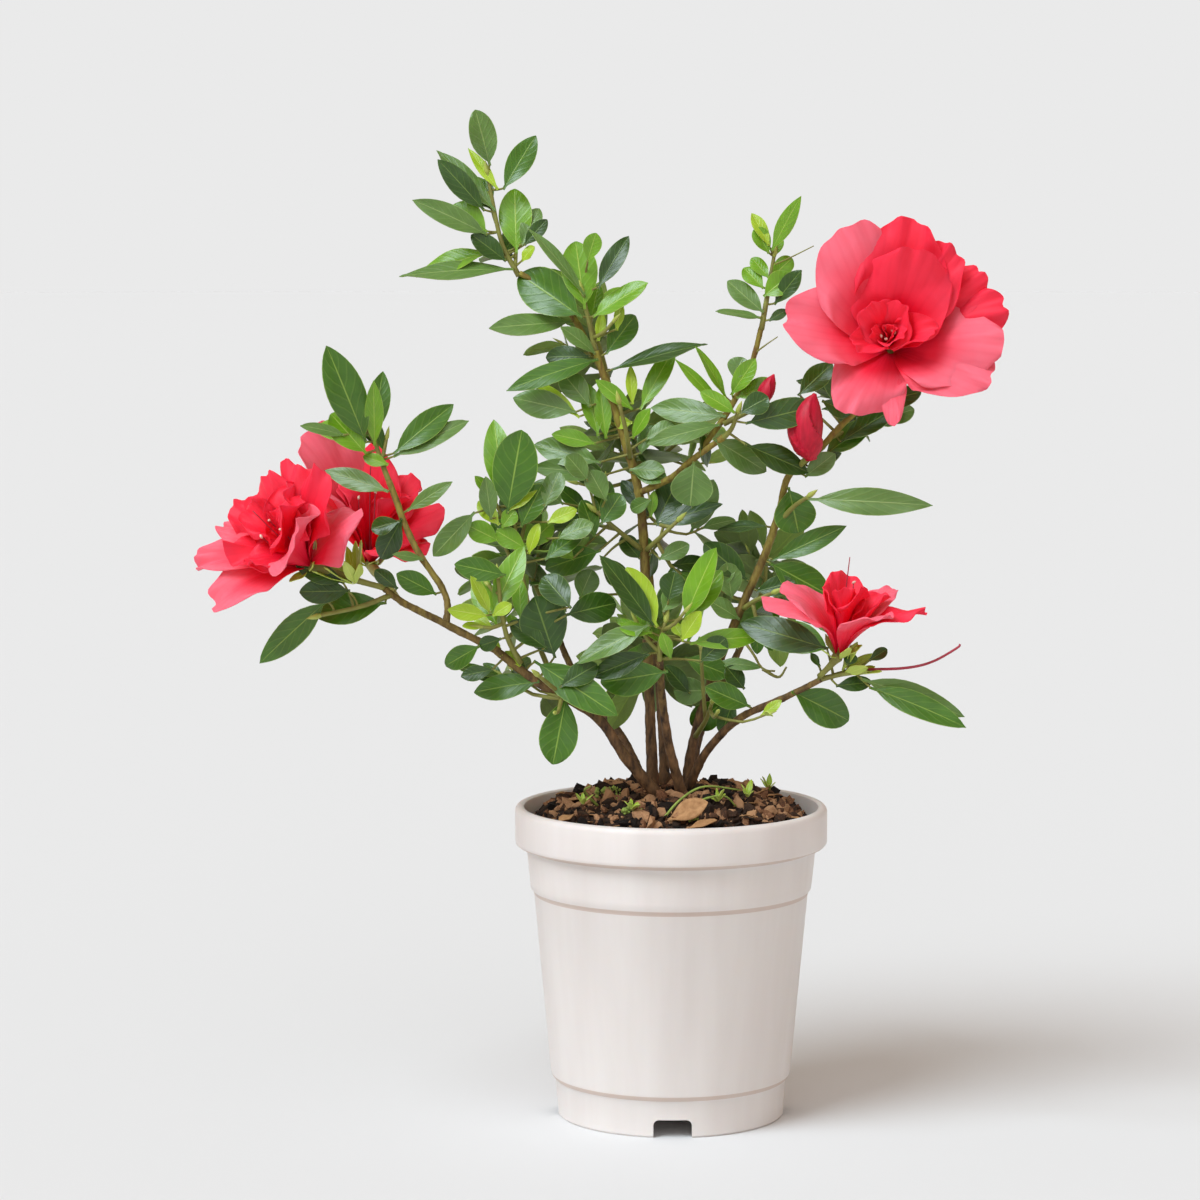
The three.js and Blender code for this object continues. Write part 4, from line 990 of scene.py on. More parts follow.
def spots_along(points):
    count = math.ceil(length_of(points) / CARRIER_SPACING) + 1
    return [on_route(points, i / (count - 1)) for i in range(count)]


def set_leaf(row, carriers, own_depth, draw):
    """A leading leaf from its row, on a stalk from the nearest wood, and that stalk."""
    across, up, turn, length, width, roll = row
    away = np.hypot(carriers[:, 0] - across, carriers[:, 2] - up)
    away = away + CARRIER_DEPTH_WEIGHT * np.abs(carriers[:, 1] - own_depth)
    carrier = carriers[int(np.argmin(away))]
    gap = math.hypot(carrier[0] - across, carrier[2] - up)
    root = np.array([across, carrier[1] - STALK_FORWARD - STALK_SLOPE * gap, up])
    lean = math.radians(sway(draw, LEAN_SWAY))
    turn = math.radians(turn)
    direction = np.array([
        math.cos(turn) * math.cos(lean), -math.sin(lean), math.sin(turn) * math.cos(lean)])
    to_front = square_to(-BACK, direction)
    to_sky = square_to(UP if abs(direction[2]) < NEARLY_UPRIGHT else -BACK, direction)
    roll = math.radians(roll * ROLL_SHARE + sway(draw, ROLL_SWAY))
    face = to_front * math.cos(roll) + to_sky * math.sin(roll)
    leaf = new_leaf(
        root, direction, square_to(face, direction), length / math.cos(lean), width,
        WHORL["least_curl"] + WHORL["curl_range"] * next(draw))
    stalk = [carrier, mix(carrier, root, 0.5) + BACK * gap * STALK_BEND, root + direction * STALK_DEPTH]
    return leaf, stalk


limb_spots = np.array([spot for limb in limbs.values() for spot in spots_along(limb["points"])])
leading = []
leading_stalks = []
for mass_name, tones in LEADING_LEAVES.items():
    draw = number_stream(MASSES[mass_name]["seed"] + LEADING_SEED)
    stem_spots = spots_along(MASSES[mass_name]["points"])
    carriers = np.concatenate([limb_spots, stem_spots])
    for tone, rows in tones.items():
        for row in rows:
            leaf, stalk = set_leaf(row, carriers, stem_spots[0][1], draw)
            leading.append({**leaf, "tone": tone})
            if math.dist(stalk[0], stalk[2]) > STALK_LEAST:
                leading_stalks.append(stalk)
leading_spots = np.concatenate([
    np.linspace(leaf["root"], leaf["midrib"][-1], len(LEADING_WIDTHS)) for leaf in leading])
leading_seen = seen(leading_spots)
leading_room = np.concatenate([leaf["width"] / 2 * LEADING_WIDTHS for leaf in leading])
limb_seen = seen(limb_spots)


def stays_behind(leaf, margin):
    """Whether a grown leaf shows only between and behind the leading leaves and the wood."""
    spots = np.concatenate([[leaf["root"]], leaf["midrib"]])
    flat = seen(spots)
    away = np.linalg.norm(flat[:, None] - leading_seen[None], axis=2) - leading_room[None]
    in_front = spots[:, 1][:, None] < leading_spots[:, 1][None] + FRONT_MARGIN
    if bool(((away < leaf["width"] * COVER_WIDTH) & in_front).any()):
        return False
    near_wood = np.linalg.norm(flat[:, None] - limb_seen[None], axis=2).min(axis=1)
    covered = (away.min(axis=1) < margin) | (near_wood < margin + WOOD_MARGIN)
    return float(covered.mean()) >= COVERED_SHARE


# An azalea leaf is a thin leathery blade, widest past its middle, folded up a little along the
# midrib, with a wavy margin and a short stalk. It is glossy above and paler and dull beneath.
LEAF_ROWS = 15
LEAF_COLUMNS = np.array([-1.0, -0.7, -0.35, 0.0, 0.35, 0.7, 1.0])
LEAF_THICKNESS = 0.3
LEAF_CREASE = 62
STALK_SHARE = 0.07
STALK_WIDTH = 0.55
TIP_WIDTH = 0.16
# The outline is fuller towards its foot by one power and towards its tip by another, which goes
# from that of a slender leaf to that of a broad one, by how wide each is for its length.
ROW_SPREAD = 1.15
FOOT_POWER = 0.85
SLENDER_TO_BROAD = (0.25, 0.6)
TIP_POWERS = (0.95, 0.62)
BLADE_FOLD = 0.2
FOLD_RANGE = 0.22
BLADE_HOLLOW = 0.35
BLADE_TWIST = 0.3
MARGIN_WAVE = 0.05
WAVE_PACE = 9
WAVE_SHIFT = 1.6
WAVE_START = 0.2
TWIG_THICKNESS = 0.85
TWIG_SIDES = 7
TWIG_TAPER = 0.75
STEM_TAPER = 0.8
FINE_SHARE = 0.7
# A leading leaf's stalk: its least radius, how much more it has for each millimetre of its length
# up to a longest one, and its radius where it meets the leaf.
LEAF_STALK = {"least": 0.4, "more": 0.016, "longest": 14, "tip": 0.38}
TIP_BUD_RADII = np.array([0.7, 1.25, 0.9, 0.12])
TIP_BUD_HEIGHTS = (-0.5, 2.2, 5.2)
STEM_BUD_SCALE = 0.9
TWIG_BUD_SCALE = 0.8
OLD_LEAF_AGE = 0.8
UNDER_SIDE = 2.0
# Each tone: its colour above, in the shadows of its mottle, beneath and on the veins.
# The vein colour also paints the pale line along each leaf's rim, which is a painted highlight.
TONES = {
    "young": ("b0cc2c", "8dac1c", "b9cb5c", "d6e47a"),
    "fresh": ("7cac1e", "5a8a10", "95b452", "b8cf5e"),
    "mature": ("4f7e17", "335a07", "839e4a", "9dba4e"),
    "deep": ("375c14", "233f06", "708548", "809a44"),
    # The grey tone is a paler, greyer green that stands in for the sheen on glossy leaves: a painted sheen.
    "grey": ("6f9046", "50722e", "95a570", "a6bc70"),
}
OLDER = {"young": "fresh", "fresh": "mature", "mature": "deep", "deep": "deep", "grey": "deep"}
FAR_TONES = ("mature", "deep", "fresh")
MASS_TONES = {
    "foliage_top": ("mature", "fresh", "grey"),
    "foliage_upper": ("fresh", "mature"),
    "foliage_middle": ("fresh", "young", "mature"),
    "foliage_middle_right": ("mature", "fresh"),
    "foliage_upper_right": ("fresh", "young"),
    "foliage_right": ("deep", "mature"),
    "foliage_right_crest": ("deep", "mature"),
    "foliage_right_low": ("mature", "grey"),
    "foliage_low_right": ("deep", "mature"),
    "foliage_low_centre": ("mature", "young"),
    "foliage_front": ("fresh", "mature", "young"),
    "foliage_centre": ("mature", "deep", "grey"),
    "foliage_centre_low": ("mature", "grey"),
    "foliage_centre_left": ("fresh", "young", "mature"),
    "foliage_centre_high": ("fresh", "mature"),
    "foliage_low_left": ("mature", "deep"),
    "foliage_left": ("mature", "fresh"),
    "foliage_left_low": ("deep", "mature"),
}


def sheet_shape(top, under, turned):
    """The faces of a thin blade, from its grid of points above and the one beneath."""
    rows, columns = top.shape[:2]
    index = np.arange(rows * columns).reshape(rows, columns)
    below = index + rows * columns
    quads = []
    for r in range(rows - 1):
        for c in range(columns - 1):
            quads.append((index[r, c], index[r, c + 1], index[r + 1, c + 1], index[r + 1, c]))
            quads.append((below[r, c], below[r + 1, c], below[r + 1, c + 1], below[r, c + 1]))
        quads.append((index[r, 0], index[r + 1, 0], below[r + 1, 0], below[r, 0]))
        quads.append((index[r, -1], below[r, -1], below[r + 1, -1], index[r + 1, -1]))
    for c in range(columns - 1):
        quads.append((index[0, c], below[0, c], below[0, c + 1], index[0, c + 1]))
        quads.append((index[-1, c], index[-1, c + 1], below[-1, c + 1], below[-1, c]))
    if turned:
        quads = [quad[::-1] for quad in quads]
    spots = np.concatenate([top.reshape(-1, 3), under.reshape(-1, 3)])
    return spots, quads


def blade_map(shares, columns):
    """The map of a blade: across and along it, and further across on the side beneath."""
    along, across = np.meshgrid(shares, columns * 0.5 + 0.5, indexing="ij")
    top = np.stack([across, along], axis=2).reshape(-1, 2)
    return np.concatenate([top, top + [UNDER_SIDE, 0]])


LEAF_SHARES = np.sin(np.linspace(0, 1, LEAF_ROWS) * math.pi / 2) ** ROW_SPREAD
LEAF_MAP = blade_map(LEAF_SHARES, LEAF_COLUMNS)


def leaf_shape(leaf, chance):
    """One leaf blade with its stalk, from the leaf's root, direction and face."""
    share = LEAF_SHARES[:, None]
    column = LEAF_COLUMNS[None, :]
    blade = np.clip((share - STALK_SHARE) / (1 - STALK_SHARE), 0, 1)
    tip_power = float(np.interp(leaf["width"] / leaf["length"], SLENDER_TO_BROAD, TIP_POWERS))
    outline = blade ** FOOT_POWER * (1 - blade) ** tip_power
    outline = outline / outline.max()
    half = np.maximum(outline * leaf["width"] / 2, np.where(share < 0.5, STALK_WIDTH, TIP_WIDTH))
    fold = BLADE_FOLD + FOLD_RANGE * chance.random()
    phase = chance.uniform(0, 2 * math.pi, 2)
    twist = chance.uniform(-BLADE_TWIST, BLADE_TWIST) * share
    wave = np.sin(share * WAVE_PACE + phase[0] + WAVE_SHIFT * np.sign(column))
    wave = MARGIN_WAVE * leaf["width"] * wave * column ** 2
    side = column * half
    hollow = BLADE_HOLLOW * side ** 2 / (leaf["width"] + 0.1)
    lift = fold * np.abs(side) - hollow + wave * (outline > WAVE_START)
    droop = -leaf["curl"] * leaf["length"] * share ** 2
    sideways = side * np.cos(twist) - lift * np.sin(twist)
    upward = side * np.sin(twist) + lift * np.cos(twist) + droop
    across = np.cross(leaf["direction"], leaf["face"])
    top = (leaf["root"] + (leaf["direction"] * leaf["length"])[None, None, :] * share[:, :, None]
           + across * sideways[:, :, None] + leaf["face"] * upward[:, :, None])
    under = top - leaf["face"] * LEAF_THICKNESS
    return sheet_shape(top, under, turned=True)


def tip_bud(twig, radius):
    """A small pointed bud that closes the end of a twig."""
    end = on_twig(twig, 1)
    axis = unit(end - on_twig(twig, TWIG_END))
    points = [end + axis * height for height in TIP_BUD_HEIGHTS]
    return tube(points, TIP_BUD_RADII * radius, TWIG_SIDES)


leaves_by_tone = {tone: [] for tone in TONES}
twig_parts = []
tip_parts = []
chance = np.random.default_rng(21)
for leaf in leading:
    leaves_by_tone[leaf["tone"]].append(leaf_shape(leaf, chance))
for stalk in leading_stalks:
    length = min(math.dist(stalk[0], stalk[2]), LEAF_STALK["longest"])
    thickness = LEAF_STALK["least"] + LEAF_STALK["more"] * length
    twig_parts.append(bar(stalk, thickness, LEAF_STALK["tip"], 6, TWIG_SIDES))
for mass_name, mass in MASSES.items():
    stem, twigs, sprays = grow(mass_name, mass)
    fine = grow_finer(mass_name, mass, stem, twigs, sprays)
    margin = FAR_MARGIN if mass_name in FAR_SIDE else COVER_MARGIN
    foot = TWIG_THICKNESS * TWIG["stem_scale"]
    twig_parts.append(bar(rooted(stem["points"]), foot, TWIG_THICKNESS * STEM_TAPER, 10, 8))
    tip_parts.append(tip_bud(stem, STEM_BUD_SCALE))
    tones = MASS_TONES.get(mass_name, FAR_TONES)
    for i, (twig, spray) in enumerate(zip([stem] + twigs + fine, sprays)):
        kept = [leaf for leaf in spray if stays_behind(leaf, margin)]
        thick = TWIG_THICKNESS if i <= len(twigs) else TWIG_THICKNESS * FINE_SHARE
        if twig is not stem and (kept or twig.get("carries")):
            twig_parts.append(bar(twig["points"], thick, thick * TWIG_TAPER, 5, TWIG_SIDES))
            tip_parts.append(tip_bud(twig, thick * TWIG_BUD_SCALE))
        tone = tones[(i + mass["seed"]) % len(tones)]
        for leaf in kept:
            dealt = OLDER[tone] if leaf["age"] > OLD_LEAF_AGE else tone
            leaves_by_tone[dealt].append(leaf_shape(leaf, chance))


def leaf_finish(tone):
    """A leaf's skin: glossy above, with a pale midrib, side veins about 3 mm apart and a painted
    highlight along its rim, and paler and dull beneath. The waxy skin is what gives the pale glints."""
    upper, shadow, beneath, vein = TONES[tone]
    material, tree, shader = new_finish(
        f"azalea leaf, {tone}", upper, 0.38, 1.45, (0.12, (0.5, 1.0, 0.1), 0.8),
        **{"Specular IOR Level": 0.5, "Coat Weight": 0.22, "Coat Roughness": 0.3})
    blade = add_node(tree, "ShaderNodeUVMap", uv_map="blade").outputs["UV"]
    spot = add_node(tree, "ShaderNodeSeparateXYZ", None, {"Vector": blade})
    below = sums(tree, "GREATER_THAN", spot.outputs["X"], 1.5)
    across = sums(tree, "ADD", spot.outputs["X"], sums(tree, "MULTIPLY", below, -UNDER_SIDE))
    away = sums(tree, "ABSOLUTE", sums(tree, "SUBTRACT", across, 0.5))
    midrib = ranged(tree, away, 0.006, 0.027, 0.66, 0.0)
    # A pale line along the rim, in the vein colour: a painted highlight.
    margin = ranged(tree, away, 0.472, 0.495, 0.0, 0.6)
    place = on_piece(tree)
    slanted = sums(tree, "MULTIPLY_ADD", away, -0.55, spot.outputs["Y"])
    slanted = sums(tree, "MULTIPLY_ADD", cloudy(tree, place, 110.0), 0.07, slanted)
    ripple = sums(tree, "SINE", sums(tree, "MULTIPLY", slanted, 44.0))
    veins = ranged(tree, ripple, 0.8, 1.0, 0.0, 0.11)
    skin = blended(tree, cloudy(tree, place, 160.0, 3.0), shadow, upper)
    skin = blended(tree, below, skin, beneath)
    veins_and_rim_highlight = sums(tree, "MAXIMUM", sums(tree, "MAXIMUM", midrib, veins), margin)
    tree.links.new(ranged(tree, below, 0.0, 1.0, 0.33, 0.7), shader.inputs["Roughness"])
    sinks = sums(tree, "MAXIMUM", ranged(tree, ripple, 0.3, 1.0, 0.0, 0.4), midrib)
    furrows = sums(tree, "MULTIPLY_ADD", cloudy(tree, place, 330.0), 0.9, sinks)
    painted(tree, shader, blended(tree, veins_and_rim_highlight, skin, vein), furrows, 0.35, 0.4, sunk=True)
    return material


for tone, shapes in leaves_by_tone.items():
    leaves = joined_mesh(f"leaves_{tone}", shapes, maps=[LEAF_MAP] * len(shapes))
    smoothed(leaves, LEAF_CREASE)
    in_place(leaves, leaf_finish(tone), "foliage", *MASSES)
twigs = joined_mesh("leafy_twigs", twig_parts)
shoot, tree, shader = new_finish("young azalea shoot", "7f8a3c", 0.6, 1.45)
mottle = cloudy(tree, on_piece(tree), 260.0, 4.0)
painted(tree, shader, blended(tree, mottle, "6b5a30", "98a04a"), mottle, 0.4, 0.15)
in_place(twigs, shoot, "bark", *MASSES)
tips = joined_mesh("tip_buds", tip_parts)
scale_skin, tree, shader = new_finish("azalea tip bud", "b9c455", 0.5, 1.45)
painted(tree, shader, blended(tree, cloudy(tree, on_piece(tree), 500.0), "8f9a38", "c6cf6a"))
in_place(tips, scale_skin, "foliage", *MASSES)

# The blooms are the semi-double red ones of a pot azalea: a short funnel that opens into broad
# ruffled petals, with small curled petals in the throat. Each petal is a thin shell, deep red at
# its foot and paler at its margin. The single bloom low on the right has no inner petals.
PETAL_ROWS = 26
PETAL_COLUMNS = 27
PETAL_SHARES = np.linspace(0, 1, PETAL_ROWS)
PETAL_STEPS = 80
LEAN_POWER = 1.2
TIP_ROUND = 0.3
TIP_POWER = 2.2
RUFFLE_CENTRE = 0.45
RUFFLE_STRETCH = 1.6
FULL_WIDTH = 30
# The waves of a petal, each with how closely it is set and how high it stands: the broad folds
# along the petal, the ruffles round its rim, and the frill of its outline, which also has a depth.
FOLDS = ((3.6, 0.7), (7.1, 0.25))
RUFFLES = ((4, 0.9), (9, 0.5), (17, 0.3))
FRILLS = ((5, 0.6), (12, 0.4))
FRILL = 0.035
PETAL_HOLLOW = 0.006
FOOT_WIDTH = 1.3
PETAL_THICKNESS = 0.3
PETAL_CREASE = 70
PETAL_CLEARANCE = 0.9
STALK_RADIUS = 1.1
STALK_RADII = np.array([1.1, 1.0, 1.0, 1.1, 1.2, 1.5, 2.0, 1.7]) * STALK_RADIUS
STALK_SIDES = 12
THROAT_RADIUS = 2.2
INNER_RISE = 3.0
INNER_START = 15
# Coral and crimson are lit and shaded copies of one petal colour: coral is painted light on the petals that
# face the light, crimson is painted shade on those in shadow.
PETAL_TONES = {"lit_coral": ("dc0430", "fb2844", "fb6a7c"), "crimson": ("c80022", "f60a30", "fa3049")}
# Each petal: its turn, length and width, how far it leans at its foot and its tip, its ruffle.
PETALS = {
    "bloom_right": {
        "lit_coral": (
            (152, 47, 40, 30, 92, 1.8), (94, 53, 50, 26, 80, 2.2), (-31, 50, 46, 34, 92, 2.2),
            (-137, 38, 38, 34, 104, 2.4), (-45, 49, 38, 34, 100, 2.4), (-106, 37, 13, 38, 110, 0.8)),
        "crimson": (
            (12, 48, 30, 36, 88, 2.2), (-8, 50, 32, 40, 92, 2.2), (57, 53, 48, 28, 76, 2.6),
            (30, 50, 34, 26, 78, 2.6), (46, 47, 50, 16, 66, 2.8), (112, 27, 30, 6, 44, 1.4),
            (25, 26, 32, 4, 40, 1.4), (-60, 22, 28, 2, 30, 1.0), (185, 27, 22, 10, 52, 1.6),
            (70, 17, 24, -4, 16, 0.8), (-20, 17, 20, -4, 18, 0.8), (150, 20, 18, 2, 34, 1.2),
            (-25, 31, 24, 10, 60, 1.8)),
    },
    "bloom_left_front": {
        "lit_coral": (
            (175, 40, 30, 42, 106, 1.4), (145, 44, 19, 42, 94, 1.8), (-10, 30, 34, 50, 108, 2.4),
            (122, 38, 20, 34, 86, 2.0), (-60, 39, 40, 16, 60, 2.2)),
        "crimson": (
            (104, 37, 28, 30, 80, 2.2), (76, 37, 36, 24, 74, 2.6), (50, 39, 36, 22, 84, 2.8),
            (22, 38, 34, 24, 84, 2.6), (160, 32, 24, 16, 64, 2.4), (100, 30, 28, 12, 54, 3.2),
            (30, 32, 30, 10, 60, 3.6), (-40, 37, 32, 6, 54, 2.4), (60, 24, 22, 2, 34, 3.4),
            (200, 26, 22, 14, 60, 2.4), (-20, 22, 20, 2, 30, 3.0)),
    },
    "bloom_left_back": {
        "lit_coral": ((148, 57, 44, 16, 48, 2.0),),
        "crimson": (
            (170, 37, 38, 20, 62, 2.2), (100, 43, 38, 12, 50, 1.8), (50, 38, 34, 20, 62, 2.0),
            (0, 38, 42, 24, 80, 2.4), (-40, 34, 34, 30, 96, 2.2), (130, 34, 26, 6, 34, 3.0),
            (20, 30, 26, 6, 42, 3.0)),
    },
    "bloom_low_right": {
        "lit_coral": (
            (180, 37, 30, 22, 106, 1.4), (150, 34, 34, 22, 84, 1.2), (42, 34, 22, 22, 76, 1.0),
            (-46, 31, 28, 22, 70, 1.4)),
        "crimson": (
            (104, 28, 32, 8, 34, 1.6), (-8, 38, 24, 24, 90, 1.8), (-96, 25, 26, 0, 22, 1.4),
            (-40, 26, 22, 2, 34, 1.6), (165, 24, 22, 4, 36, 1.4), (20, 29, 22, 16, 52, 1.4)),
    },
}
# Stamens: how many, how long, and how far they lean. The sepals of a bloom sit a little behind
# its petals, and each has so much length, width and lean. An anther has a length and a radius.
STAMENS = {
    "bloom_right": (6, 15, 16), "bloom_left_front": (4, 24, 20), "bloom_left_back": (3, 30, 12),
    "bloom_low_right": (2, 27, 9),
}
CALYX = {"behind": 1.2, "count": 5, "length": 9, "width": 4, "lean": 60}
SPENT_CALYX = {"width": 4, "lean": 40}
BUD_CALYX = {"ahead": 0.5, "count": 6, "length": 1.5, "width": 0.7, "lean": 18}
SEPAL = {"turn_sway": 15, "lean_sway": 12, "out": 0.9, "lengths": (0.8, 1.15), "curl": -0.12}
STAMEN_RADII = (0.32, 0.2)
ANTHER = (1.8, 0.55)
# The long pistils that blooms left behind, two bristles and the dead twigs: the radius of each
# at its ends, its rings and its sides, and the routes.
THREADS = {
    "pistil": (
        (0.55, 0.4, 16, 8),
        (
            (72, -48, 178), (85.4, -50, 178.8), (95.1, -52, 181.3), (104.1, -54, 186.7),
            (105.2, -54, 188.2)),
        ((-128, -60, 224), (-134, -62, 236), (-134.5, -62, 246)),
    ),
    "awn": (
        (0.4, 0.2, 10, 6),
        ((30.9, -15.5, 293.8), (35, -17, 297), (39.3, -18, 300)),
        ((38.3, -15.5, 327), (44.4, -18, 329.8), (52.5, -20, 333.9)),
    ),
    "dead_twig": (
        (0.7, 0.35, 10, 8),
        ((22.8, -2.5, 186.5), (26, -14, 186), (30.4, -20, 180.9), (34, -21, 175), (38.7, -22, 174.3)),
        ((55.5, -45, 174.2), (63, -46.5, 177), (72, -48, 178)),
        ((34, -21, 175), (40, -22, 172), (43, -23, 176)),
    ),
}
# The calyx that each fallen bloom left: its foot, the way it faces, its sepals and their length.
# Then how far the large bud bends, and how the buds' skins overlap and wind round them.
SPENT_CALYXES = (
    ((-117.5, -54, 211), (-0.35, -0.4, 0.85), 8, 16), ((63, -47, 177), (0.75, -0.25, 0.55), 8, 13),
)
BUD_BEND = {"bud_large": (-3.0, 0, 0)}
BUD_RINGS = 30
BUD_SIDES = 64
BUD_OVERLAPS = 4
BUD_WINDING = 1.3
BUD_OVERLAP = 0.3
BUD_CREASE = 50


def waving(place, waves, phases):
    """The sum of some waves, each with its own phase."""
    return sum(np.sin(place * count + phase) * height for (count, height), phase in zip(waves, phases))


def petal_grid(root, axis, petal, chance):
    """The points of a petal's inner side and the way that this side faces at each. The petal is a
    fan on the funnel about the axis, with folds along it and a rim that ruffles in and out."""
    turn, length, width, start, end, ruffle = petal
    share = PETAL_SHARES[:, None]
    column = np.linspace(-1, 1, PETAL_COLUMNS)[None, :]
    measure = np.linspace(0, 1, PETAL_STEPS)
    leans = np.radians(start + (end - start) * measure ** LEAN_POWER)
    phase = chance.uniform(0, 2 * math.pi, 7)
    rim_turn = np.arctan2(column, (share - RUFFLE_CENTRE) * RUFFLE_STRETCH)
    rim = np.hypot(column * share, np.maximum(share - RUFFLE_CENTRE, 0) / (1 - RUFFLE_CENTRE))
    rim = np.clip(rim, 0, 1)
    frill = 1 + FRILL * min(width / FULL_WIDTH, 1) * waving(rim_turn, FRILLS, phase[5:]) * rim ** 5
    step = length / (PETAL_STEPS - 1)
    reach = np.clip(share * (1 - TIP_ROUND * np.abs(column) ** TIP_POWER) * frill, 0, 1)
    lean = np.interp(reach, measure, leans)
    out = np.interp(reach, measure, np.cumsum(np.sin(leans)) * step)
    along = np.interp(reach, measure, np.cumsum(np.cos(leans)) * step)
    half = width / 2 * 1.12 * share ** 0.8 * (1 - 0.24 * share ** 7) + FOOT_WIDTH * (1 - share)
    side = column * half * frill
    lift = waving(column, FOLDS, phase) * share + waving(rim_turn, RUFFLES, phase[2:]) * rim ** 3
    lift = ruffle * lift - PETAL_HOLLOW * side ** 2 * share
    about = (math.radians(turn) + side / (out + THROAT_RADIUS * 1.6))[:, :, None]
    right = unit(-np.cross(axis, side_for(axis)))
    outward = right * np.cos(about) + np.cross(axis, right) * np.sin(about)
    facing = axis * np.sin(lean)[:, :, None] - outward * np.cos(lean)[:, :, None]
    spots = root + outward * (out + PETAL_CLEARANCE)[:, :, None] + axis * along[:, :, None]
    return spots + facing * lift[:, :, None], facing


def petal_shape(root, axis, petal, chance):
    """One petal as a thin shell."""
    inner, facing = petal_grid(root, axis, petal, chance)
    return sheet_shape(inner, inner - facing * PETAL_THICKNESS, turned=False)


def stamen_shape(root, axis, turn, length, lean):
    """A stamen's thread, which bends towards the axis at its end."""
    middle = root + leaning_out(axis, turn, lean) * length * 0.6
    end = root + leaning_out(axis, turn, lean * 0.7) * length
    return bar([root, middle, end], *STAMEN_RADII, 8, 6), end


def pod_shape(centre, axis, length, radius):
    """A small rounded body along an axis, such as an anther."""
    turn = np.linspace(0.12, math.pi - 0.12, 7)
    return tube([centre - axis * length / 2, centre + axis * length / 2], np.sin(turn) * radius, 8)


def sepal_shapes(root, axis, count, length, width, lean, chance):
    """The green sepals about the foot of a bloom or a bud."""
    shapes = []
    for i in range(count):
        turn = 360 * i / count + chance.uniform(-SEPAL["turn_sway"], SEPAL["turn_sway"])
        out = lean + chance.uniform(-SEPAL["lean_sway"], SEPAL["lean_sway"])
        direction = leaning_out(axis, turn, out)
        foot = root + leaning_out(axis, turn, 90) * SEPAL["out"]
        own_length = length * chance.uniform(*SEPAL["lengths"])
        leaf = new_leaf(foot, direction, square_to(axis, direction), own_length, width, SEPAL["curl"])
        shapes.append(leaf_shape(leaf, chance))
    return shapes


PETAL_MAP = blade_map(PETAL_SHARES, np.linspace(-1, 1, PETAL_COLUMNS))
petals_by_tone = {tone: [] for tone in PETAL_TONES}
stamen_parts = []
anther_parts = []
sepal_parts = []
stalk_parts = []
chance = np.random.default_rng(33)
for bloom_name, bloom in BLOOMS.items():
    axis = unit(np.array(bloom["faces"], float))
    throat = np.array(bloom["throat"], float)
    root = throat - axis * THROAT_RADIUS
    bend = np.array(bloom["stalk"], float)
    stalk = [start_on(bloom["on"], bloom["at"], bend, STALK_RADIUS), bend, root]
    stalk_parts.append(tube(rooted(stalk), STALK_RADII, STALK_SIDES))
    sepal_parts += sepal_shapes(
        root - axis * CALYX["behind"], axis, CALYX["count"], CALYX["length"], CALYX["width"],
        CALYX["lean"], chance)
    for tone, rows in PETALS[bloom_name].items():
        for petal in rows:
            lifted = root + axis * (INNER_RISE if petal[3] < INNER_START else 0)
            petals_by_tone[tone].append(petal_shape(lifted, axis, petal, chance))
    count, length, lean = STAMENS[bloom_name]
    for i in range(count):
        reach = length * chance.uniform(0.75, 1.05)
        thread, end = stamen_shape(
            throat, axis, GOLDEN_ANGLE * i + 30, reach, lean * chance.uniform(0.6, 1.3))
        stamen_parts.append(thread)
        anther_parts.append(pod_shape(end, leaning_out(axis, 80 * i, 50), *ANTHER))
    stamen_parts.append(stamen_shape(throat, axis, 100, length * 1.3, lean * 0.5)[0])

# A bud is a spindle of petals still rolled about each other, so its skin is a few long overlaps
# that wind a little round it, with green scales at its foot.
bud_parts = []
for bud_name, bud in BUDS.items():
    base = np.array(bud["stalk"], float)
    tip = np.array(bud["tip"], float)
    axis = unit(tip - base)
    share = np.linspace(0, 1, BUD_RINGS)
    fullness = np.sin(math.pi * np.clip(share, 0.03, 0.985) ** 0.8) ** 0.72
    turns = np.linspace(0, 2 * math.pi, BUD_SIDES, endpoint=False)
    winding = (turns[None, :] * BUD_OVERLAPS / (2 * math.pi) + share[:, None] * BUD_WINDING) % 1
    overlap = BUD_OVERLAP * (winding ** 1.5 - 0.6) * np.clip(fullness[:, None], 0.2, 1)
    middle = mix(base, tip, 0.5) + np.array(BUD_BEND.get(bud_name, (0, 0, 0)), float)
    bud_parts.append(tube([base, middle, tip], fullness * bud["radius"], BUD_SIDES, overlap))
    start = start_on(bud["on"], bud["at"], base, STALK_RADIUS)
    stalk = rooted([start, base + axis * bud["radius"] * 0.4])
    stalk_parts.append(bar(stalk, STALK_RADIUS, STALK_RADIUS, 4, STALK_SIDES))
    sepal_parts += sepal_shapes(
        base + axis * BUD_CALYX["ahead"], axis, BUD_CALYX["count"], bud["radius"] * BUD_CALYX["length"],
        bud["radius"] * BUD_CALYX["width"], BUD_CALYX["lean"], chance)

for foot, faces, count, length in SPENT_CALYXES:
    sepal_parts += sepal_shapes(
        np.array(foot, float), unit(np.array(faces)), count, length, SPENT_CALYX["width"],
        SPENT_CALYX["lean"], chance)


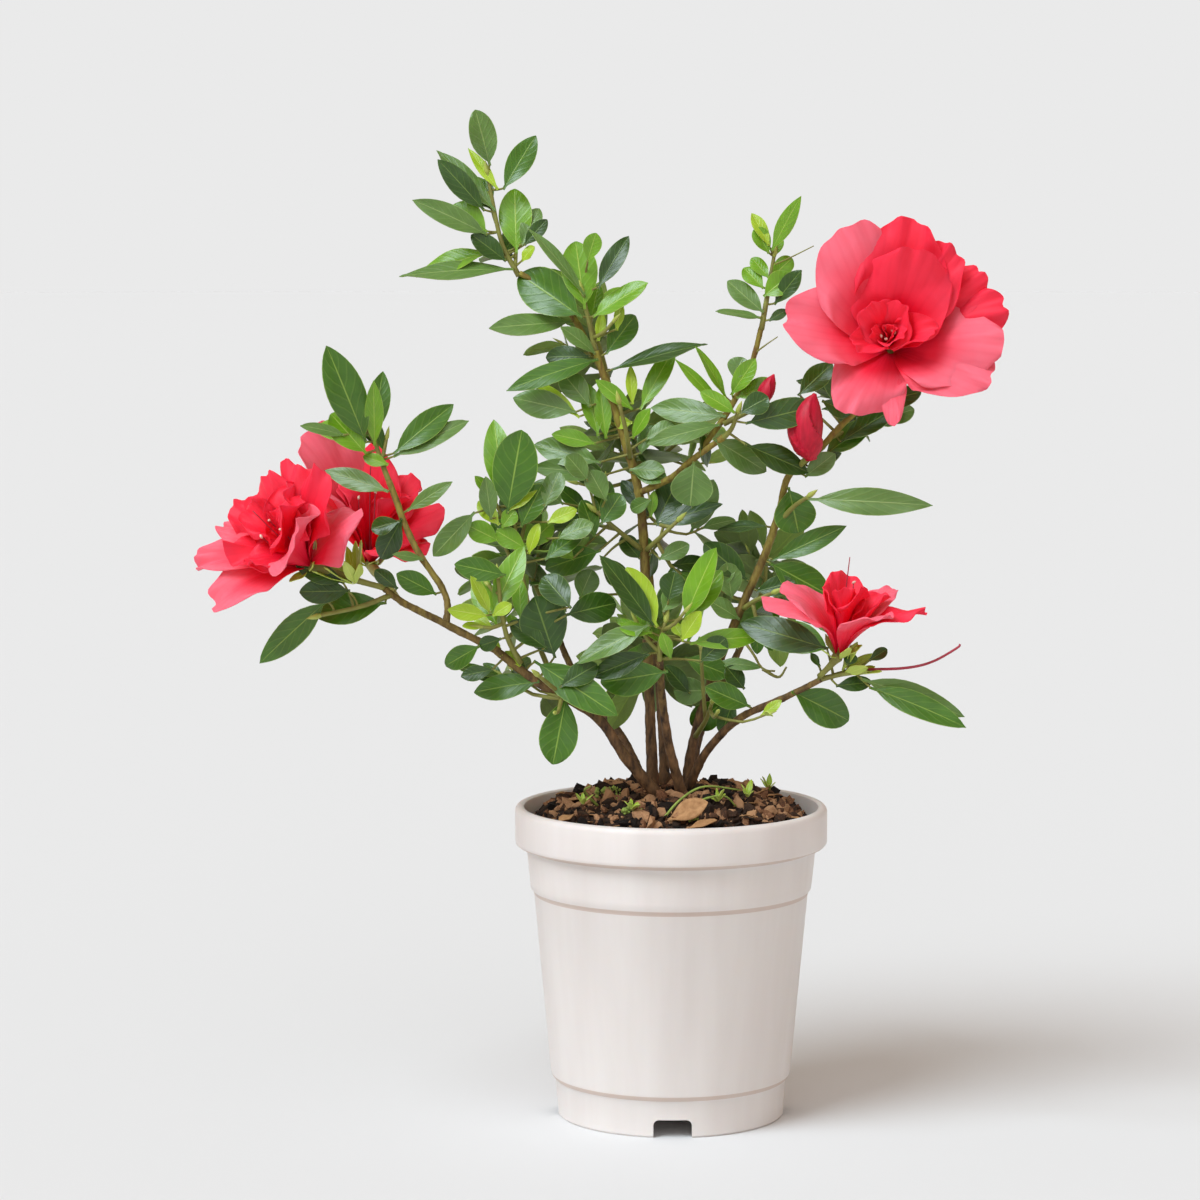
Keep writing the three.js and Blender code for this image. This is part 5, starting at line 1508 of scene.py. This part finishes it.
def petal_finish(tone):
    """Petal skin: satin and a little translucent, deepest in the throat and palest at the margin,
    with fine veins that fan out along it."""
    foot, middle, rim = PETAL_TONES[tone]
    material, tree, shader = new_finish(
        f"azalea petal, {tone}", middle, 0.55, 1.38, (0.3, (1.0, 0.2, 0.25), 2.2),
        **{"Specular IOR Level": 0.35})
    blade = add_node(tree, "ShaderNodeUVMap", uv_map="blade").outputs["UV"]
    spot = add_node(tree, "ShaderNodeSeparateXYZ", None, {"Vector": blade})
    drift = cloudy(tree, on_piece(tree), 70.0, 3.0)
    along = sums(tree, "MULTIPLY_ADD", drift, 0.3, spot.outputs["Y"])
    shade = ramp(tree, along, (0.2, foot), (0.6, middle), (1.0, rim))
    fan = sums(tree, "MULTIPLY_ADD", drift, 5.0, sums(tree, "MULTIPLY", spot.outputs["X"], 70.0))
    veins = sums(tree, "SINE", fan)
    skin = blended(tree, ranged(tree, veins, 0.3, 1.0, 0.0, 0.08), shade, foot)
    painted(tree, shader, skin, veins, 0.12, 0.2)
    return material


for tone, shapes in petals_by_tone.items():
    petals = joined_mesh(f"petals_{tone}", shapes, maps=[PETAL_MAP] * len(shapes))
    smoothed(petals, PETAL_CREASE)
    in_place(petals, petal_finish(tone), "petal", *BLOOMS)

buds = joined_mesh("flower_buds", bud_parts)
smoothed(buds, BUD_CREASE)
bud_skin, tree, shader = new_finish(
    "azalea bud, crimson", "c40d2c", 0.5, 1.4, (0.15, (1.0, 0.2, 0.1), 2))
streaks = cloudy(tree, on_piece(tree, (1.0, 1.0, 0.12)), 900.0, 3.0)
painted(tree, shader, blended(tree, streaks, "9a0522", "e01f3f"), streaks, 0.5, 0.3)
in_place(buds, bud_skin, "petal", *BUDS)

for kind, (sizes, *routes) in THREADS.items():
    parts = stamen_parts if kind == "pistil" else stalk_parts
    parts += [bar(as_points(route), *sizes) for route in routes]
stamens = joined_mesh("stamens", stamen_parts)
thread_skin, tree, shader = new_finish("azalea stamen thread", "d2304c", 0.45, 1.4)
painted(tree, shader, blended(tree, cloudy(tree, on_piece(tree), 120.0), "8c2a32", "c9485c"))
in_place(stamens, thread_skin, "petal", *BLOOMS)
anthers = joined_mesh("anthers", anther_parts)
anther_skin, tree, shader = new_finish("azalea anther", "e9c9b4", 0.7, 1.4)
painted(tree, shader, blended(tree, cloudy(tree, on_piece(tree), 900.0), "b98a70", "fff0e2"))
in_place(anthers, anther_skin, "petal", *BLOOMS)

sepals = joined_mesh("sepals", sepal_parts, maps=[LEAF_MAP] * len(sepal_parts))
smoothed(sepals, LEAF_CREASE)
in_place(sepals, leaf_finish("young"), "foliage", *BLOOMS, *BUDS)
stalks = joined_mesh("flower_stalks", stalk_parts)
in_place(stalks, shoot, "bark", *BLOOMS, *BUDS)

# The compost is a low mound of bark chips, coarse crumbs and peat, 5 mm below the pot's rim at its
# wall. Papery tan flakes, cushions of moss, thin tendrils and a few sprouts lie on it.
SOIL_SIDES = 96
SOIL_RINGS = [
    (4.0, 10.1), (40.8, 10.1), (49.1, 86.4), (52.4, 104.2), (55.5, 113.6), (49.5, 116.8), (43.0, 120.0),
    (35.0, 122.6), (27.0, 124.9), (14.0, 125.3), (3.0, 125.4),
]
LUMP_REACH = 54.0
CHIPS = 1500
CRUMBS = 2600
CHIP_LENGTHS = (2.4, 10.0)
CRUMB_LENGTHS = (0.8, 2.4)
CHIP_SINK = 0.12
CRUMB_SINK = 0.1
FLAKES = 44
FLAKE_REACH = 50
FLAKE_LIFT = 1.4
# The two long flakes: the foot and the tip of each, the way that it faces, and its width.
LONG_FLAKES = (
    ((-2, -44, 121), (12, -47, 129), (-0.2, -0.75, 0.6), 8),
    ((6, -50, 119), (16, -47, 122.5), (0, -0.4, 0.9), 4),
)
MOSS_HEARTS = ((-24, -12, 125.2, 6.5), (-15, -33, 122.5, 4.0), (6, -40, 120.8, 3.6))
MOSS_TUFTS = 130
MOSS_FLATNESS = 0.55
TUFT_SIZES = np.array([0.9, 0.55, 0.5])
SPROUT_RISE = 3.5
SPROUT_LEAVES = 5
SPROUTS = ((-33.7, -30, 121.5), (-15.3, -37, 120.5), (17, -30, 122.5), (28.6, -22, 123), (38, 8, 121))
TENDRILS = (
    ((-4.9, -41, 119.5), (3, -38, 128), (12, -33, 132), (25.7, -22, 129)),
    ((1.5, -40, 119.8), (9, -36, 126.5), (19, -30, 128), (24, -27, 123.5)),
    ((-28, -20, 122.5), (-33, -26, 129), (-31, -32, 132)),
)
LUMP_SHAPE = bmesh.new()
bmesh.ops.create_icosphere(LUMP_SHAPE, subdivisions=1, radius=1)
LUMP_SPOTS = np.array([corner.co[:] for corner in LUMP_SHAPE.verts])
LUMP_FACES = [tuple(corner.index for corner in face.verts) for face in LUMP_SHAPE.faces]
LUMP_SHAPE.free()


def any_turn(chance):
    """A random turn, as the three rows of its matrix."""
    first = unit(chance.normal(0, 1, 3))
    second = unit(np.cross(first, chance.normal(0, 1, 3)))
    return np.array([first, second, np.cross(first, second)])


def soil_height(radius):
    """The height of the mound at a distance from its middle."""
    outline = sorted(SOIL_RINGS[4:])
    return np.interp(radius, [ring[0] for ring in outline], [ring[1] for ring in outline])


def lump_shape(centre, sizes, chance):
    """An angular lump: a faceted ball, knocked out of shape and stretched."""
    spots = LUMP_SPOTS * chance.uniform(0.72, 1.22, (len(LUMP_SPOTS), 1))
    return (spots * sizes) @ any_turn(chance) + centre, LUMP_FACES


def on_mound(reach, chance):
    """A random point on the mound, up to a distance from its middle."""
    radius = reach * math.sqrt(chance.random())
    turn = chance.uniform(0, 2 * math.pi)
    return np.array([radius * math.cos(turn), radius * math.sin(turn), float(soil_height(radius))])


def scattered(count, lengths, sink, chance):
    """Lumps over the whole mound, part sunk into it."""
    shapes = []
    for _ in range(count):
        length = lengths[0] + (lengths[1] - lengths[0]) * chance.random() ** 2.2
        centre = on_mound(LUMP_REACH - length * 0.5, chance)
        centre[2] = centre[2] - sink * length + chance.uniform(0, 0.25) * length
        sizes = np.array([1, chance.uniform(0.45, 0.8), chance.uniform(0.28, 0.6)]) * length / 2
        shapes.append(lump_shape(centre, sizes, chance))
    return shapes


chance = np.random.default_rng(52)
mound = turned("compost", SOIL_RINGS, SOIL_SIDES)
bpy.ops.object.shade_smooth()
peat, tree, shader = new_finish("peat and bark compost", "3a2a1d", 0.95, 1.4)
grain = cloudy(tree, on_piece(tree), 700.0, 6.0, 0.7)
painted(tree, shader, ramp(tree, grain, (0.35, "100905"), (0.66, "46301f")), grain, 1.0, 0.8)
in_place(mound, peat, "soil", "soil")

# The chips and crumbs differ from piece to piece, from nearly black peat to tan bark.
lump_parts = scattered(CHIPS, CHIP_LENGTHS, CHIP_SINK, chance)
lump_parts += scattered(CRUMBS, CRUMB_LENGTHS, CRUMB_SINK, chance)
lumps = joined_mesh("bark_chips", lump_parts, smooth=False)
chips, tree, shader = new_finish("broken bark and peat crumbs", "4c3625", 0.9, 1.4)
geometry = add_node(tree, "ShaderNodeNewGeometry")
grain = cloudy(tree, on_piece(tree), 1500.0, 4.0)
kind = sums(tree, "MULTIPLY_ADD", grain, 0.35, geometry.outputs["Random Per Island"])
tint = ramp(tree, kind, (0.3, "120904"), (0.66, "3c281b"), (0.84, "744c32"), (1.0, "b0845f"))
painted(tree, shader, tint, grain, 0.7, 0.4)
in_place(lumps, chips, "soil", "soil")

flake_parts = []
for _ in range(FLAKES):
    centre = on_mound(FLAKE_REACH, chance) + UP * FLAKE_LIFT
    face = unit(np.array([chance.uniform(-0.3, 0.3), chance.uniform(-0.3, 0.3), 1]))
    direction = unit(np.cross(face, chance.normal(0, 1, 3)))
    length = chance.uniform(4, 10)
    width = length * chance.uniform(0.3, 0.6)
    flake_parts.append(leaf_shape(
        new_leaf(centre, direction, face, length, width, chance.uniform(0.0, 0.25)), chance))
for root, tip, face, width in LONG_FLAKES:
    root, tip, face = as_points((root, tip, face))
    length = float(np.linalg.norm(tip - root))
    direction = unit(tip - root)
    leaf = new_leaf(root, direction, square_to(face, direction), length, width, 0.1)
    flake_parts.append(leaf_shape(leaf, chance))
flakes = joined_mesh("dry_flakes", flake_parts)
papery, tree, shader = new_finish("papery dry leaf", "b9936a", 0.8, 1.4)
fibres = cloudy(tree, on_piece(tree), 600.0, 4.0)
painted(tree, shader, blended(tree, fibres, "7c5129", "d0a070"), fibres, 0.4, 0.2)
in_place(flakes, papery, "soil", "soil")

moss_parts = []
for x, y, z, size in MOSS_HEARTS:
    for _ in range(MOSS_TUFTS):
        away = unit(chance.normal(0, 1, 3))
        reach = np.array([size, size, size * MOSS_FLATNESS])
        centre = np.array([x, y, z]) + away * reach * chance.uniform(0.6, 1)
        if away[2] > -0.2:
            moss_parts.append(lump_shape(centre, TUFT_SIZES * chance.uniform(0.6, 1.4), chance))
moss_parts += [bar(as_points(points), 0.55, 0.3, 16, 7) for points in TENDRILS]
moss = joined_mesh("moss_and_tendrils", moss_parts)
moss_skin, tree, shader = new_finish("moss", "7e9a35", 0.75, 1.4)
patches = cloudy(tree, on_piece(tree), 500.0, 3.0)
painted(tree, shader, blended(tree, patches, "5b7426", "b4c763"))
in_place(moss, moss_skin, "foliage", "soil")
sprout_parts = []
for x, y, z in SPROUTS:
    for i in range(SPROUT_LEAVES):
        direction = leaning_out(UP, GOLDEN_ANGLE * i + 40 * x, 20 + 8 * i + chance.uniform(-8, 8))
        root = np.array([x, y, z + SPROUT_RISE])
        length = chance.uniform(3, 7)
        width = chance.uniform(1.3, 2.4)
        leaf = new_leaf(root, direction, square_to(UP, direction), length, width, 0.1)
        sprout_parts.append(leaf_shape(leaf, chance))
sprouts = joined_mesh("sprouts", sprout_parts, maps=[LEAF_MAP] * len(sprout_parts))
in_place(sprouts, leaf_finish("young"), "foliage", "soil")

# The stage: a wide pale floor that meets a backdrop of the same tone, a soft key light from the
# left, a weak fill light from the front, and the camera at the photograph's place, 1.4 m away
# with a long lens.
BACKDROP = "eaeaea"
FLOOR_SIZE = 40.0
FLOOR_SHADE = 0.76
LIGHT_COLOUR = (0.806, 0.917, 1.0)
# Each light: its strength, how soft it is in degrees, and its turn.
LIGHTS = {"key": (2.6, 34.0, (42.0, 0.0, -51.0)), "fill": (0.53, 60.0, (50.0, 0.0, -5.0))}
SKY_LIGHT = (0.5, 0.42, 0.36, 1)
WALL_RADIUS = 19.0
WALL_HEIGHT = 5.0
WALL_SIDES = 96
SENSOR = 36.0
FOCAL_PIXELS = 3680.0
PICTURE_PIXELS = 1200.0
CAMERA_PITCH = 84.25
CAMERA_RANGE = 100

bpy.ops.mesh.primitive_plane_add(size=FLOOR_SIZE)
floor = bpy.context.object
floor.name = "floor"
paper, tree, shader = new_finish(
    "pale matt floor", BACKDROP, 1.0, 1.4,
    **{"Base Color": (FLOOR_SHADE, FLOOR_SHADE, FLOOR_SHADE, 1), "Specular IOR Level": 0.0})
floor.data.materials.append(paper)
world = bpy.data.worlds.new("soft sky")
world.use_nodes = True
sky = world.node_tree.nodes["Background"]
sky.inputs["Color"].default_value = SKY_LIGHT
bpy.context.scene.world = world
bpy.ops.mesh.primitive_cylinder_add(
    vertices=WALL_SIDES, radius=WALL_RADIUS, depth=WALL_HEIGHT, end_fill_type="NOTHING",
    location=(0, 0, WALL_HEIGHT / 2))
wall = bpy.context.object
wall.name = "backdrop"
glow, tree, shader = new_finish(
    "evenly lit backdrop", "000000", 1.0, 1.4,
    **{"Emission Color": linear(BACKDROP), "Emission Strength": 1.0, "Specular IOR Level": 0.0})
wall.data.materials.append(glow)
wall.visible_diffuse = False
wall.visible_glossy = False
wall.visible_transmission = False
wall.visible_shadow = False
for name, (strength, softness, turns) in LIGHTS.items():
    bpy.ops.object.light_add(type="SUN", rotation=[math.radians(turn) for turn in turns])
    lamp = bpy.context.object
    lamp.name = name
    lamp.data.energy = strength
    lamp.data.color = LIGHT_COLOUR
    lamp.data.angle = math.radians(softness)
bpy.ops.object.camera_add(
    location=[part * MM for part in VIEW_PLACE], rotation=(math.radians(CAMERA_PITCH), 0, 0))
camera = bpy.context.object
camera.data.sensor_width = SENSOR
camera.data.lens = SENSOR * FOCAL_PIXELS / PICTURE_PIXELS
camera.data.clip_end = CAMERA_RANGE
bpy.context.scene.camera = camera
bpy.context.scene.view_settings.view_transform = "Standard"
